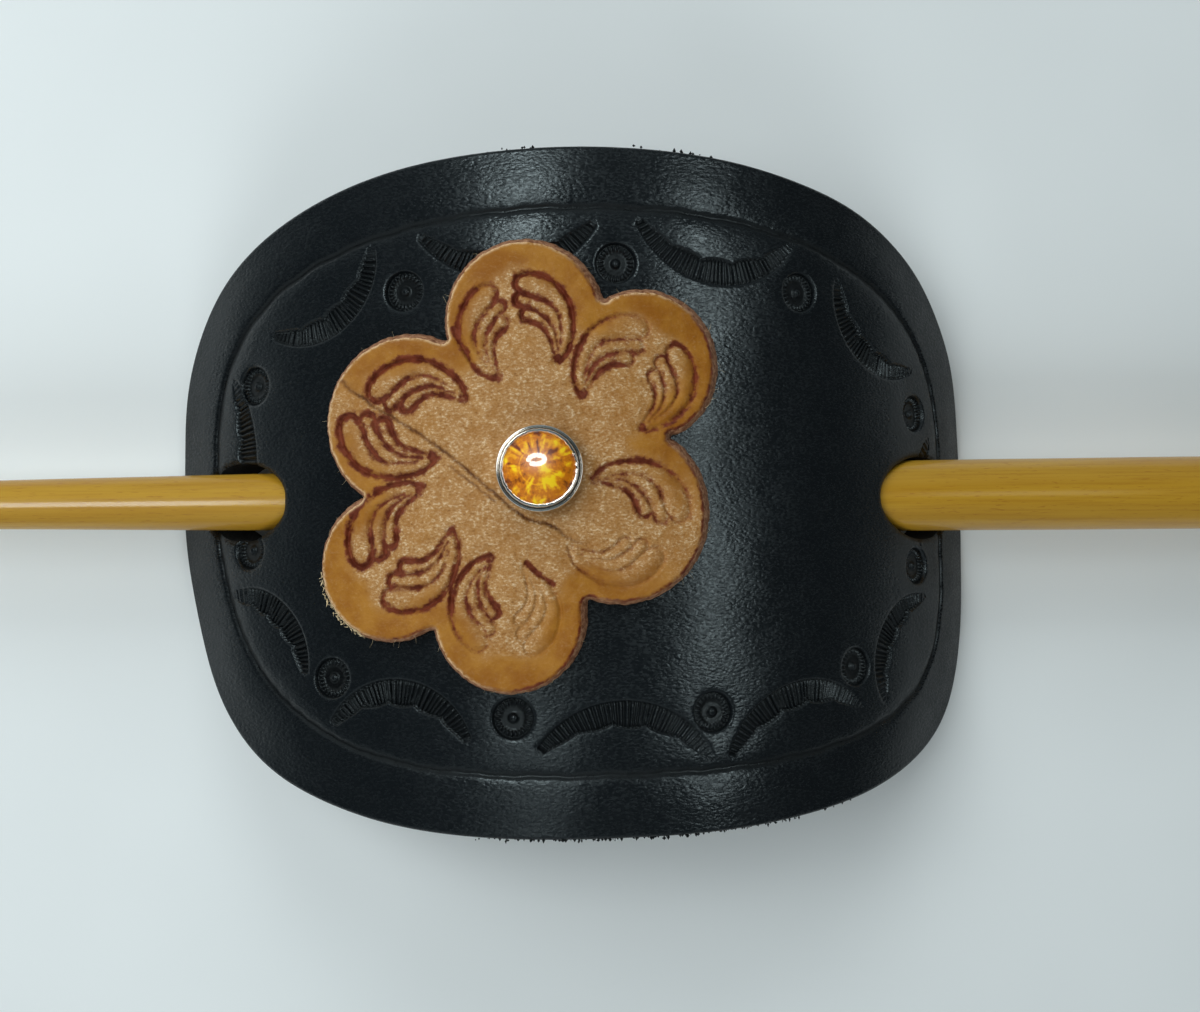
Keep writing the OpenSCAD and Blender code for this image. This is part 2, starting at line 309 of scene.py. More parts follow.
def to_line(points, line, closed=False):
    """Distance of each point to a jointed line, its nearest stretch, the share along that, and the side."""
    ends = np.roll(line, -1, 0) if closed else line[1:]
    starts = line if closed else line[:-1]
    run = ends - starts
    length2 = (run ** 2).sum(1)
    found = []
    for chunk in np.array_split(points, max(1, len(points) * len(line) // 3_000_000)):
        gap = chunk[:, None, :] - starts[None]
        share = np.clip((gap * run).sum(2) / length2, 0, 1)
        off = gap - share[:, :, None] * run
        far2 = (off ** 2).sum(2)
        k = far2.argmin(1)
        row = np.arange(len(chunk))
        side = run[k, 0] * gap[row, k, 1] - run[k, 1] * gap[row, k, 0]
        found.append(np.c_[np.sqrt(far2[row, k]), k, share[row, k], np.sign(side)])
    return np.vstack(found).T


def inside(points, loop):
    """True for the points within a closed line."""
    result = []
    ax, ay = loop.T
    bx, by = np.roll(loop, -1, 0).T
    slope = (bx - ax) / np.where(by == ay, 1e-12, by - ay)
    for chunk in np.array_split(points, max(1, len(points) * len(loop) // 6_000_000)):
        x, y = chunk[:, :1], chunk[:, 1:]
        crossed = ((ay > y) != (by > y)) & (x < ax + slope * (y - ay))
        result.append(crossed.sum(1) % 2 == 1)
    return np.concatenate(result)


def open_at(points, edge, holes):
    """True for the points inside an edge and outside all its holes."""
    return inside(points, edge) & ~np.any([inside(points, hole) for hole in holes], 0)


def lattice(low, high, pitch):
    """Points in rows, each row half a step over."""
    rows = np.arange(low[1], high[1], pitch * math.sqrt(0.75))
    columns = np.arange(low[0], high[0], pitch)
    x, y = np.meshgrid(columns, rows)
    x[1::2] += pitch / 2
    return np.c_[x.ravel(), y.ravel()]


def clear_of(points, others, distance):
    """The points that lie at least a distance from all the others."""
    tree = kdtree.KDTree(len(others))
    for i, (x, y) in enumerate(others.tolist()):
        tree.insert((x, y, 0), i)
    tree.balance()
    far = np.array([tree.find((x, y, 0))[2] for x, y in points.tolist()])
    return points[far >= distance]


def bell(x, middle, width):
    return np.exp(-(((x - middle) / width) ** 2))


def ease(x, low, high):
    share = np.clip((x - low) / (high - low), 0, 1)
    return share * share * (3 - 2 * share)


# The two leathers' outlines

def edge_outline():
    """The flat leather's edge, counterclockwise from the middle of the lower side."""
    parts = []
    for side, turns in ((1, np.linspace(-90, 90, 2001)), (-1, np.linspace(90, -90, 2001)[1:-1])):
        for way in (-1, 1) if side == 1 else (1, -1):
            t = np.radians(turns[(turns < 0) if way < 0 else (turns >= 0)])
            end, long_side = CORNERS[side][way]
            x = side * LEATHER_L / 2 * np.abs(np.cos(t)) ** (2 / end)
            parts.append(np.c_[x, way * LEATHER_W / 2 * np.abs(np.sin(t)) ** (2 / long_side)])
    return resample(np.vstack(parts), EDGE_POINTS)


def grown_edge():
    """The black leather's edge with what the real one is fuller by."""
    loop = edge_outline()
    a = np.degrees(np.arctan2(loop[:, 1] / LEATHER_W, loop[:, 0] / LEATHER_L))
    fuller = sum(gain * bell((a - middle + 180) % 360 - 180, 0, width) for middle, width, gain in FULLER)
    return inward(loop, -(EDGE_GROW + fuller)[:, None])


def flower_outline():
    """Round petal ends joined by small hollow rounds in the notches."""
    ways = [math.radians(a) for a, _, _ in PETALS[::-1]]
    centres = [row[1] * np.array((math.cos(a), math.sin(a))) for a, row in zip(ways, PETALS[::-1])]
    radii = [PETAL_R + more for _, _, more in PETALS[::-1]]
    notches = []
    for i, one in enumerate(centres):
        k = (i + 1) % len(centres)
        run = centres[k] - one
        span = np.hypot(*run)
        reach, reach2 = radii[i] + NOTCH_R, radii[k] + NOTCH_R
        along = (reach ** 2 - reach2 ** 2 + span ** 2) / (2 * span)
        square = np.array((run[1], -run[0])) / span
        notches.append(one + run / span * along + square * math.sqrt(reach ** 2 - along ** 2))
    parts = []
    for i, centre in enumerate(centres):
        before, after = notches[i - 1] - centre, notches[i] - centre
        a = math.atan2(before[1], before[0])
        b = math.atan2(after[1], after[0])
        turn = np.linspace(a, a + (b - a) % math.tau, 160)
        parts.append(centre + radii[i] * np.c_[np.cos(turn), np.sin(turn)])
        back, on = -after, centres[(i + 1) % len(centres)] - notches[i]
        a = math.atan2(back[1], back[0])
        b = math.atan2(on[1], on[0])
        turn = np.linspace(a, a - (a - b) % math.tau, 24)[1:-1]
        parts.append(notches[i] + NOTCH_R * np.c_[np.cos(turn), np.sin(turn)])
    loop = resample(np.vstack(parts), EDGE_POINTS)
    step = np.arange(EDGE_POINTS)
    rough = 0.035 * np.sin(0.49 * step) * np.sin(0.11 * step + 1)
    rough += 0.025 * np.sin(1.31 * step + 2 * np.sin(0.23 * step))
    return inward(loop, rough[:, None])


# Meshes

def triangulate(points, loops):
    """Triangles over the points, held to the loops, with the place of each given point in the result."""
    coords = [Vector(p) for p in points.tolist()]
    edges = [(int(a), int(b)) for loop in loops for a, b in zip(loop, np.roll(loop, -1))]
    out, _, faces, origins, _, _ = delaunay_2d_cdt(coords, edges, [], 0, 1e-6, True)
    place = np.zeros(len(points), int)
    for new, old in enumerate(origins):
        place[old] = new
    return np.array([(p.x, p.y) for p in out]), np.array(faces), place


def strip(one, two):
    """Two rows of triangles between two closed rows of corners."""
    a, b = np.roll(one, -1), np.roll(two, -1)
    return np.vstack([np.c_[one, a, b], np.c_[one, b, two]])


def make_piece(name, corners, faces, materials, kinds=None, values=None, body="barrette"):
    """Smooth mesh object in metres, riding on its body.

    kinds gives each face's material, and values the data of each corner.
    """
    mesh = bpy.data.meshes.new(name)
    mesh.from_pydata((np.asarray(corners) * MM).tolist(), [], [list(map(int, f)) for f in faces])
    for material in materials:
        mesh.materials.append(material)
    if kinds is not None:
        mesh.polygons.foreach_set("material_index", np.asarray(kinds, np.int32))
    mesh.polygons.foreach_set("use_smooth", np.ones(len(mesh.polygons), bool))
    for label, data in (values or {}).items():
        layer = mesh.attributes.new(label, "FLOAT", "POINT")
        layer.data.foreach_set("value", np.asarray(data, np.float32))
    mesh.validate()
    mesh.update()
    piece = bpy.data.objects.new(name, mesh)
    bpy.context.scene.collection.objects.link(piece)
    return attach(piece, body)


class Wall:
    """A closed wall of leather as it is built up, with each face's material and each corner's data."""

    def __init__(self, place, flat, radius, top, values):
        self.place = place
        self.corners = [place(flat, radius)]
        self.faces, self.kinds = [top], [np.zeros(len(top))]
        self.values = {label: [data] for label, data in values.items()}
        self.count = len(flat)

    def ring(self, where, radius, **values):
        """Add corners at places on the flat, with data 0 where none is given, and return their numbers."""
        self.corners.append(self.place(where, radius))
        for label, column in self.values.items():
            column.append(values.get(label, 0) * np.ones(len(where)))
        self.count += len(where)
        return np.arange(self.count - len(where), self.count)

    def join(self, one, two, kind=1):
        """Faces between two closed rows of corners."""
        self.faces.append(strip(one, two))
        self.kinds.append(np.full(2 * len(one), kind))

    def underside(self, edge, holes, radius, field, distance, loops):
        """Plain lower side inside an edge and outside the holes. Returns the corners of its loops."""
        below = np.vstack([edge] + holes)
        below = np.vstack([below, clear_of(field[open_at(field, edge, holes)], below, distance)])
        flat, faces, place = triangulate(below, loops)
        faces = faces[open_at(flat[faces].mean(1), edge, holes)]
        rows = self.ring(flat, radius)
        self.faces.append(rows[faces[:, ::-1]])
        self.kinds.append(np.ones(len(faces)))
        return [rows[place[loop]] for loop in loops]

    def piece(self, name, materials):
        corners = np.vstack(self.corners)
        corners[:, 2] = np.maximum(corners[:, 2], 0)
        values = {label: np.concatenate(column) for label, column in self.values.items()}
        return make_piece(name, corners, np.vstack(self.faces), materials, np.concatenate(self.kinds), values)


def turned(profile, sides):
    """Corners and faces of a shape turned round Z from (radius, height) points, both ends on the axis."""
    profile = np.array(profile, float)
    turn = np.linspace(0, math.tau, sides, endpoint=False)
    rings = [np.c_[r * np.cos(turn), r * np.sin(turn), np.full(sides, z)] for r, z in profile[1:-1]]
    corners = np.vstack([[[0, 0, profile[0, 1]]]] + rings + [[[0, 0, profile[-1, 1]]]])
    rows = [1 + i * sides + np.arange(sides) for i in range(len(rings))]
    faces = [strip(one, two) for one, two in zip(rows, rows[1:])]
    faces.append(np.c_[np.full(sides, 0), np.roll(rows[0], -1), rows[0]])
    faces.append(np.c_[np.full(sides, len(corners) - 1), rows[-1], np.roll(rows[-1], -1)])
    return corners, np.vstack(faces)


def on_arch(corners, turn, v, radius):
    """Moves corners drawn round Z to stand square on the leather."""
    x, y, z = np.asarray(corners).T
    z = z + radius
    c, s = math.cos(turn), math.sin(turn)
    return np.c_[x * c + z * s, y + v, AXIS_Z + z * c - x * s]


def bent(flat, radius):
    """Places (u, v) on the arch, at a radius."""
    a = flat[:, 0] / ARCH_R
    return np.c_[radius * np.sin(a), flat[:, 1], AXIS_Z + radius * np.cos(a)]


def on_flower(flat, radius):
    """Places (s, t) on the flower's curved surface, at a radius."""
    s, t = flat.T
    return on_arch(np.c_[s, t, np.sqrt(radius ** 2 - s ** 2)], FLOWER_TURN, FLOWER_V, 0)


# Materials

def new_material(name, **settings):
    """New material with its shader's own values, _ standing for a space in their names."""
    material = bpy.data.materials.new(name)
    material.use_nodes = True
    shader = material.node_tree.nodes["Principled BSDF"]
    for label, value in settings.items():
        shader.inputs[label.replace("_", " ")].default_value = value
    return material, material.node_tree, shader


def feed(shader, label, value):
    """Link a socket to an input of the shader."""
    shader.id_data.links.new(value, shader.inputs[label])


def add(tree, kind, settings=None, **inputs):
    """New node. Inputs have _ for a space, or in1 and so on by number, and take values or sockets."""
    node = tree.nodes.new(kind)
    for label, value in (settings or {}).items():
        setattr(node, label, value)
    for label, value in inputs.items():
        numbered = label[:2] == "in" and label[2:].isdigit()
        socket = node.inputs[int(label[2:]) if numbered else label.replace("_", " ")]
        if isinstance(value, bpy.types.NodeSocket):
            tree.links.new(value, socket)
        else:
            socket.default_value = value
    return node


def place_of(tree, stretch=(1, 1, 1)):
    """Place on the object in millimetres, multiplied by a stretch."""
    raw = add(tree, "ShaderNodeTexCoord").outputs["Object"]
    scale = [k / MM for k in stretch]
    return add(tree, "ShaderNodeVectorMath", {"operation": "MULTIPLY"}, in0=raw, in1=scale).outputs[0]


def noise(tree, where, size, detail=2.0, rough=0.5):
    """Noise from 0 to 1 whose blobs are about size millimetres apart."""
    node = add(tree, "ShaderNodeTexNoise", None, Vector=where, Scale=1 / size, Detail=detail, Roughness=rough)
    return node.outputs["Fac"]


def cells(tree, where, size):
    """Soft cells, 0 in the middle of each, that are about size millimetres apart."""
    node = add(tree, "ShaderNodeTexVoronoi", {"feature": "SMOOTH_F1"}, Vector=where, Scale=1 / size)
    return node.outputs["Distance"]


def math_node(tree, operation, a, b=0.0):
    return add(tree, "ShaderNodeMath", {"operation": operation}, in0=a, in1=b).outputs[0]


def times(tree, a, b):
    return math_node(tree, "MULTIPLY", a, b)


def plus(tree, a, b):
    return math_node(tree, "ADD", a, b)


def minus(tree, a, b):
    return math_node(tree, "SUBTRACT", a, b)


def ranged(tree, value, low, high, to_low=0.0, to_high=1.0):
    """Value brought smoothly from one range into another and held at its ends."""
    node = add(tree, "ShaderNodeMapRange", {"interpolation_type": "SMOOTHSTEP"}, Value=value, From_Min=low,
               From_Max=high, To_Min=to_low, To_Max=to_high)
    return node.outputs[0]


def attribute(tree, label):
    return add(tree, "ShaderNodeAttribute", {"attribute_name": label}).outputs["Fac"]


def blend_colour(tree, share, one, two):
    """Colour that goes from one to two with share."""
    node = tree.nodes.new("ShaderNodeMix")
    node.data_type = "RGBA"
    for socket, value in ((node.inputs[0], share), (node.inputs[6], one), (node.inputs[7], two)):
        if isinstance(value, bpy.types.NodeSocket):
            tree.links.new(value, socket)
        elif socket.type == "RGBA":
            socket.default_value = (*value, 1)
        else:
            socket.default_value = value
    return node.outputs[2]


def bump(tree, height, depth, below=None):
    """Bump of a height from 0 to 1 that is depth millimetres deep, on top of another bump."""
    inputs = {"Height": height, "Distance": depth * MM, "Strength": 1.0}
    if below is not None:
        inputs["Normal"] = below
    return add(tree, "ShaderNodeBump", None, **inputs).outputs[0]


def black_leather():
    """Dyed and waxed grain side: fine pebbles, wrinkles along the border strip, smoother in the stamps, and
    darker there and in the border line as painted shade.
    """
    material, tree, shader = new_material("black_leather", Specular_IOR_Level=0.5)
    where = place_of(tree)
    pressed = attribute(tree, "pressed")
    border = attribute(tree, "border")
    pebbles = cells(tree, place_of(tree, (0.7, 1.25, 1.0)), 0.34)
    fine = noise(tree, place_of(tree, (0.6, 1.2, 1.0)), 0.25, 1.5, 0.5)
    grain = plus(tree, times(tree, pebbles, 0.7), times(tree, fine, 1.0))
    kept = minus(tree, 1.0, times(tree, pressed, 0.7))
    grain_bump = bump(tree, times(tree, grain, kept), 0.032)
    wrinkles = noise(tree, place_of(tree, (0.45, 1.3, 1.0)), 0.42, 3.0, 0.6)
    wrinkled = times(tree, wrinkles, ranged(tree, border, 0.0, 1.0, 0.5, 1.0))
    wrinkle_bump = bump(tree, wrinkled, 0.028, grain_bump)
    swells = noise(tree, where, 5.0, 1.0)
    feed(shader, "Normal", bump(tree, swells, 0.06, wrinkle_bump))
    patches = noise(tree, where, 3.5, 3.0, 0.6)
    rough = plus(tree, ranged(tree, patches, 0.3, 0.7, 0.0, 0.06), ranged(tree, fine, 0.35, 0.65, 0.15, 0.28))
    rough = plus(tree, rough, times(tree, pressed, 0.11))
    slanting = add(tree, "ShaderNodeLayerWeight", None, Blend=0.5).outputs["Facing"]
    rough = plus(tree, rough, ranged(tree, slanting, 0.30, 0.60, 0.0, 0.30))
    feed(shader, "Roughness", rough)
    worn = times(tree, ranged(tree, fine, 0.55, 0.75), 0.5)
    colour = blend_colour(tree, worn, (0.0046, 0.0062, 0.0076), (0.0075, 0.0098, 0.0118))
    # Painted shade: the stamps' hollows and the border line darker, the ribs, teeth and dots less so.
    feed(shader, "Base Color", blend_colour(tree, pressed, colour, (0.0012, 0.0016, 0.0020)))
    return material


def cut_leather():
    """Cut edge and flesh side of the black leather: rough, matt, with short nap."""
    material, tree, shader = new_material("cut_leather", Roughness=0.92, Specular_IOR_Level=0.15)
    where = place_of(tree)
    nap = noise(tree, where, 0.22, 4.0, 0.7)
    raised = ranged(tree, nap, 0.35, 0.75)
    colour = blend_colour(tree, raised, (0.0035, 0.0038, 0.0042), (0.012, 0.012, 0.0125))
    feed(shader, "Base Color", colour)
    feed(shader, "Normal", bump(tree, nap, 0.10))
    return material


def tan_leather():
    """Vegetable tanned grain side: pale and grainy inside with painted sparkle, orange along the rims,
    stained in the cuts, with a painted highlight line and a painted shade line along the rims.
    """
    material, tree, shader = new_material("tan_leather", Specular_IOR_Level=0.35)
    where = place_of(tree)
    stain = attribute(tree, "stain")
    handled = attribute(tree, "handled")
    rim = attribute(tree, "rim")
    fold = attribute(tree, "fold")
    patches = noise(tree, where, 3.2, 4.0, 0.6)
    blotches = noise(tree, where, 1.1, 3.0, 0.6)
    fine = noise(tree, place_of(tree, (0.8, 1.25, 1.0)), 0.27, 3.0, 0.65)
    pores = cells(tree, where, 0.32)
    petal = blend_colour(tree, ranged(tree, patches, 0.3, 0.7), (0.27, 0.092, 0.009), (0.38, 0.160, 0.022))
    raw = blend_colour(tree, ranged(tree, blotches, 0.25, 0.75), (0.35, 0.155, 0.040), (0.47, 0.250, 0.095))
    base = blend_colour(tree, handled, raw, petal)
    # Pale specks on the grain: paler fibres, and painted sparkle standing for highlights on the grain.
    sparkle = times(tree, ranged(tree, fine, 0.48, 0.70), ranged(tree, handled, 0.0, 0.8, 0.80, 0.08))
    sparkle = times(tree, sparkle, ranged(tree, blotches, 0.35, 0.62, 0.25, 1.0))
    base = blend_colour(tree, sparkle, base, (0.76, 0.57, 0.37))
    pits = times(tree, ranged(tree, fine, 0.46, 0.28), ranged(tree, handled, 0.0, 0.9, 0.65, 0.15))
    base = blend_colour(tree, pits, base, (0.17, 0.060, 0.014))
    ragged = noise(tree, where, 0.50, 4.0, 0.7)
    wander = times(tree, minus(tree, ragged, 0.5), 1.0)
    patchy = ranged(tree, noise(tree, where, 1.5, 2.0, 0.5), 0.36, 0.58, 0.68, 1.08)
    # The stain data also carries the painted shade line along the rims that face away from the light.
    mixed = plus(tree, times(tree, stain, patchy), wander)
    base = blend_colour(tree, ranged(tree, mixed, 0.20, 0.50, 0.0, 0.65), base, (0.21, 0.060, 0.016))
    shade = ranged(tree, blotches, 0.35, 0.65)
    deep = blend_colour(tree, shade, (0.085, 0.010, 0.005), (0.185, 0.036, 0.016))
    base = blend_colour(tree, ranged(tree, mixed, 0.40, 0.66, 0.0, 0.92), base, deep)
    # Painted highlight: a pale line along the rims on the sides that face the light.
    base = blend_colour(tree, times(tree, rim, ranged(tree, ragged, 0.35, 0.55)), base, (0.68, 0.44, 0.24))
    base = blend_colour(tree, times(tree, fold, 0.9), base, (0.095, 0.026, 0.010))
    feed(shader, "Base Color", base)
    rough = plus(tree, ranged(tree, patches, 0.3, 0.7, 0.36, 0.46), times(tree, stain, 0.08))
    feed(shader, "Roughness", rough)
    grain = plus(tree, times(tree, pores, 0.5), times(tree, fine, 1.0))
    grained = times(tree, grain, ranged(tree, handled, 0.0, 1.0, 1.0, 0.25))
    feed(shader, "Normal", bump(tree, grained, 0.055, bump(tree, blotches, 0.12)))
    return material


def burnished_edge():
    """Side of the flower: rubbed and stained, with short nap, pale where it has frayed."""
    material, tree, shader = new_material("burnished_edge", Roughness=0.65, Specular_IOR_Level=0.3)
    where = place_of(tree)
    layers = noise(tree, where, 0.45, 4.0, 0.7)
    raised = ranged(tree, layers, 0.35, 0.68)
    colour = blend_colour(tree, raised, (0.180, 0.066, 0.030), (0.460, 0.235, 0.130))
    frayed = ranged(tree, plus(tree, attribute(tree, "torn"), minus(tree, layers, 0.5)), 0.35, 0.6)
    feed(shader, "Base Color", blend_colour(tree, frayed, colour, (0.74, 0.56, 0.33)))
    feed(shader, "Normal", bump(tree, layers, 0.10))
    return material


def fibre(name, colour):
    """Loose leather fibre."""
    material, tree, shader = new_material(name, Roughness=0.8, Specular_IOR_Level=0.3)
    shade = ranged(tree, noise(tree, place_of(tree), 0.6), 0.3, 0.7)
    darker = [0.55 * k for k in colour]
    feed(shader, "Base Color", blend_colour(tree, shade, darker, colour))
    return material


def silver():
    """Polished plated metal with fine turning marks and rubbing."""
    material, tree, shader = new_material("silver", Metallic=1.0)
    where = place_of(tree)
    rubbed = noise(tree, where, 0.35, 3.0, 0.6)
    feed(shader, "Roughness", ranged(tree, rubbed, 0.3, 0.7, 0.08, 0.18))
    colour = blend_colour(tree, ranged(tree, rubbed, 0.35, 0.65), (0.86, 0.85, 0.82), (0.72, 0.71, 0.68))
    feed(shader, "Base Color", colour)
    feed(shader, "Normal", bump(tree, rubbed, 0.003))
    return material


def orange_stone():
    """Polished orange dome whose foil shows through, with the foil's glints and reflections painted in, from
    brown through orange to bright yellow.
    """
    material, tree, shader = new_material("orange_stone", Roughness=0.4, Specular_IOR_Level=0.2,
                                          Coat_Weight=1.0, Coat_IOR=1.45, Coat_Roughness=0.03)
    shade = attribute(tree, "shade")
    painted_reflection_mottle = noise(tree, place_of(tree), 0.40, 3.0, 0.65)
    mixed = plus(tree, shade, times(tree, minus(tree, painted_reflection_mottle, 0.5), 0.9))
    colour = blend_colour(tree, ranged(tree, mixed, 0.02, 0.36), (0.170, 0.026, 0.0008), (0.64, 0.175, 0.001))
    colour = blend_colour(tree, ranged(tree, mixed, 0.36, 0.62), colour, (0.88, 0.37, 0.002))
    colour = blend_colour(tree, ranged(tree, mixed, 0.62, 0.95), colour, (1.0, 0.64, 0.004))
    feed(shader, "Base Color", colour)
    return material


def nickel():
    """Plain plated steel of the rivet's back."""
    material, tree, shader = new_material("nickel", Metallic=1.0, Base_Color=(0.62, 0.60, 0.56, 1))
    rubbed = noise(tree, place_of(tree, (0.4, 2.5, 1.0)), 0.8, 4.0, 0.6)
    feed(shader, "Roughness", ranged(tree, rubbed, 0.3, 0.7, 0.25, 0.45))
    return material


def lacquered_wood():
    """Honey-coloured wood with fine straight grain, under clear lacquer."""
    material, tree, shader = new_material("stick_wood", Coat_Weight=0.6, Coat_Roughness=0.15,
                                          Roughness=0.5, Specular_IOR_Level=0.2)
    grain = noise(tree, place_of(tree, (0.02, 1.0, 1.0)), 0.30, 3.0, 0.6)
    bands = noise(tree, place_of(tree, (0.035, 0.6, 0.6)), 1.5, 2.0, 0.5)
    flecks = noise(tree, place_of(tree, (0.12, 1.0, 1.0)), 0.16, 1.0, 0.5)
    colour = blend_colour(tree, ranged(tree, bands, 0.3, 0.7), (0.44, 0.220, 0.014), (0.50, 0.270, 0.022))
    colour = blend_colour(tree, ranged(tree, grain, 0.42, 0.72, 0.0, 0.4), colour, (0.34, 0.140, 0.008))
    colour = blend_colour(tree, ranged(tree, flecks, 0.62, 0.74, 0.0, 0.5), colour, (0.30, 0.105, 0.008))
    feed(shader, "Base Color", colour)
    feed(shader, "Normal", bump(tree, grain, 0.006))
    return material


def floor_paint():
    """Pale bluish-grey board."""
    material, tree, shader = new_material("floor_paint", Roughness=0.75, Specular_IOR_Level=0.2)
    where = place_of(tree)
    mottle = noise(tree, where, 40.0, 2.0)
    colour = blend_colour(tree, ranged(tree, mottle, 0.3, 0.7), (0.79, 0.80, 0.80), (0.82, 0.83, 0.83))
    feed(shader, "Base Color", colour)
    return material


# Black leather

def hole_loop(side, radius, grow):
    """Outline on the flat of a stick hole where it meets a radius, counterclockwise."""
    half_high = stick_d(side * HOLE_X) / 2 + STICK_GROW + HOLE_CLEAR
    round_r = half_high - HOLE_FLAT
    corner = round_r + grow
    high = half_high - round_r
    wide = HOLE_W[side] / 2 - round_r
    turn = np.linspace(0, math.tau, 240, endpoint=False)
    way = np.c_[np.cos(turn), np.sin(turn)]
    box = np.sign(way) * (wide, high) + corner * way
    y, z = (resample(box, 96) + (STICK_Y, STICK_Z)).T
    x = side * np.sqrt(radius ** 2 - (z - AXIS_Z) ** 2)
    loop = np.c_[ARCH_R * np.arcsin(x / radius), y]
    return loop[::-1] if side < 0 else loop


def holes_at(radius, post_room):
    """Outlines of both stick holes and of the rivet's hole where they meet a radius, counterclockwise."""
    turn = np.linspace(0, math.tau, 32, endpoint=False)
    a = SETTING_TURN + np.arcsin((POST_R + post_room) * np.cos(turn) / radius)
    post = np.c_[ARCH_R * a, SETTING_V + (POST_R + post_room) * np.sin(turn)]
    return [hole_loop(-1, radius, LIP), hole_loop(1, radius, LIP), post]


def stick_d(x):
    """Diameter of the stick at a distance from its middle."""
    share = x / STICK_L
    return (STICK_MID_D + (STICK_BUTT_D - STICK_TIP_D) * share
            - (4 * STICK_MID_D - 2 * STICK_BUTT_D - 2 * STICK_TIP_D) * share ** 2)


class Crescent:
    """A ribbed crescent stamp, measured along its convex arc and square to it, inwards."""

    def __init__(self, one, peak, two, fade):
        self.fade = fade
        one, peak, two = (np.array(p) for p in (one, peak, two))
        rows = 2 * np.array((peak - one, two - one))
        self.centre = np.linalg.solve(rows, [peak @ peak - one @ one, two @ two - one @ one])
        self.radius = np.hypot(*(one - self.centre))
        start = math.atan2(*(one - self.centre)[::-1])
        turn = math.atan2(*(two - self.centre)[::-1]) - start
        turn = (turn + math.pi) % math.tau - math.pi
        through = (math.atan2(*(peak - self.centre)[::-1]) - start + math.pi) % math.tau - math.pi
        if through * turn < 0:
            turn -= math.copysign(math.tau, turn)
        self.start, self.way, self.length = start, math.copysign(1, turn), abs(turn) * self.radius

    def width(self, along):
        """Width of the band: narrow at the tips, lobed on its hollow side."""
        share = np.clip(along / self.length, 0, 1)
        lobes = 1 - np.abs(np.sin(5 * math.pi * share)) ** 0.6
        return 0.9 + 1.9 * np.sin(math.pi * share) ** 0.8 - 0.50 * lobes * np.sin(math.pi * share) ** 0.5

    def place(self, along, across):
        a = self.start + self.way * along / self.radius
        r = self.radius - across
        return np.c_[self.centre[0] + r * np.cos(a), self.centre[1] + r * np.sin(a)]

    def measure(self, points):
        gap = points - self.centre
        a = (np.arctan2(gap[:, 1], gap[:, 0]) - self.start) * self.way
        half = self.length / self.radius / 2
        a = (a - half + math.pi) % math.tau - math.pi + half
        return a * self.radius, self.radius - np.hypot(gap[:, 0], gap[:, 1])

    def samples(self):
        """Points close enough together to carry the ribs."""
        along = np.arange(-0.5, self.length + 0.5, RIB_PITCH / 6)
        width = self.width(along)
        rows = [np.full_like(along, t) for t in (-0.55, -0.3, -0.12, 0.0, 0.12, 0.26)]
        rows += [0.26 + (width - 0.46) * share for share in np.linspace(0.14, 1.0, 8)]
        rows += [width + t for t in (-0.08, 0.04, 0.16, 0.34, 0.6)]
        return np.vstack([self.place(along, row) for row in rows])

    def relief(self, points):
        """Height of the pressed surface, and how far pressed it is from 0 to 1."""
        along, across = self.measure(points)
        width = self.width(along)
        share = along / self.length
        fade_in, fade_out = (max(fade, 0.01) for fade in self.fade)
        press = np.clip(share / fade_in, 0.12, 1) * np.clip((1 - share) / fade_out, 0.12, 1)
        past_end = np.maximum(np.maximum(-along, along - self.length), 0)
        beyond = np.hypot(past_end, across / 2 * ((along < 0) | (share > 1)))
        within = np.minimum(across, width - across) - beyond
        floor = ease(within, -0.03, 0.10)
        shoulder = np.exp(-np.maximum(-within, 0) / 0.45)
        uneven = 0.12 * np.sin(1.7 * along + self.centre[0])
        rib = np.abs(np.sin(math.pi * (along + uneven) / RIB_PITCH)) ** 0.9
        rise = rib * ease(within, 0.0, 0.22) * (0.85 + 0.15 * np.sin(2.9 * along))
        height = -0.04 * shoulder - floor * (0.62 - 0.52 * rise)
        return press * height * (within > -1.8), floor * press * (1 - 0.5 * rise)


def round_stamp(points, u, v):
    """Height and depth share of a round stamp: a walled disc with a ring of teeth round a shiny dot."""
    r = np.hypot(points[:, 0] - u, points[:, 1] - v)
    a = np.arctan2(points[:, 1] - v, points[:, 0] - u)
    floor = 1 - ease(r, 1.96, 2.14)
    teeth = np.abs(np.sin(12 * a)) ** 1.2 * ease(r, 1.30, 1.42) * (1 - ease(r, 1.82, 1.96))
    dot = np.sqrt(np.clip(1 - (r / 0.50) ** 2, 0, 1))
    shoulder = np.where(r > 2.0, np.exp(-np.maximum(r - 2.1, 0) / 0.4), 1)
    height = -0.06 * shoulder - floor * (0.60 - 0.42 * teeth - 0.40 * dot)
    return height * (r < 4), floor * (1 - 0.6 * teeth - 0.7 * dot)


def swell(u, v):
    """Slight unevenness of hand-worked leather, never above 0."""
    waves = 0.055 * np.sin(0.21 * u + 0.5) * np.sin(0.17 * v + 1.1) + 0.035 * np.sin(0.37 * u - 0.29 * v)
    return waves + 0.030 * np.sin(0.11 * u + 0.43 * v + 2.0) - 0.12


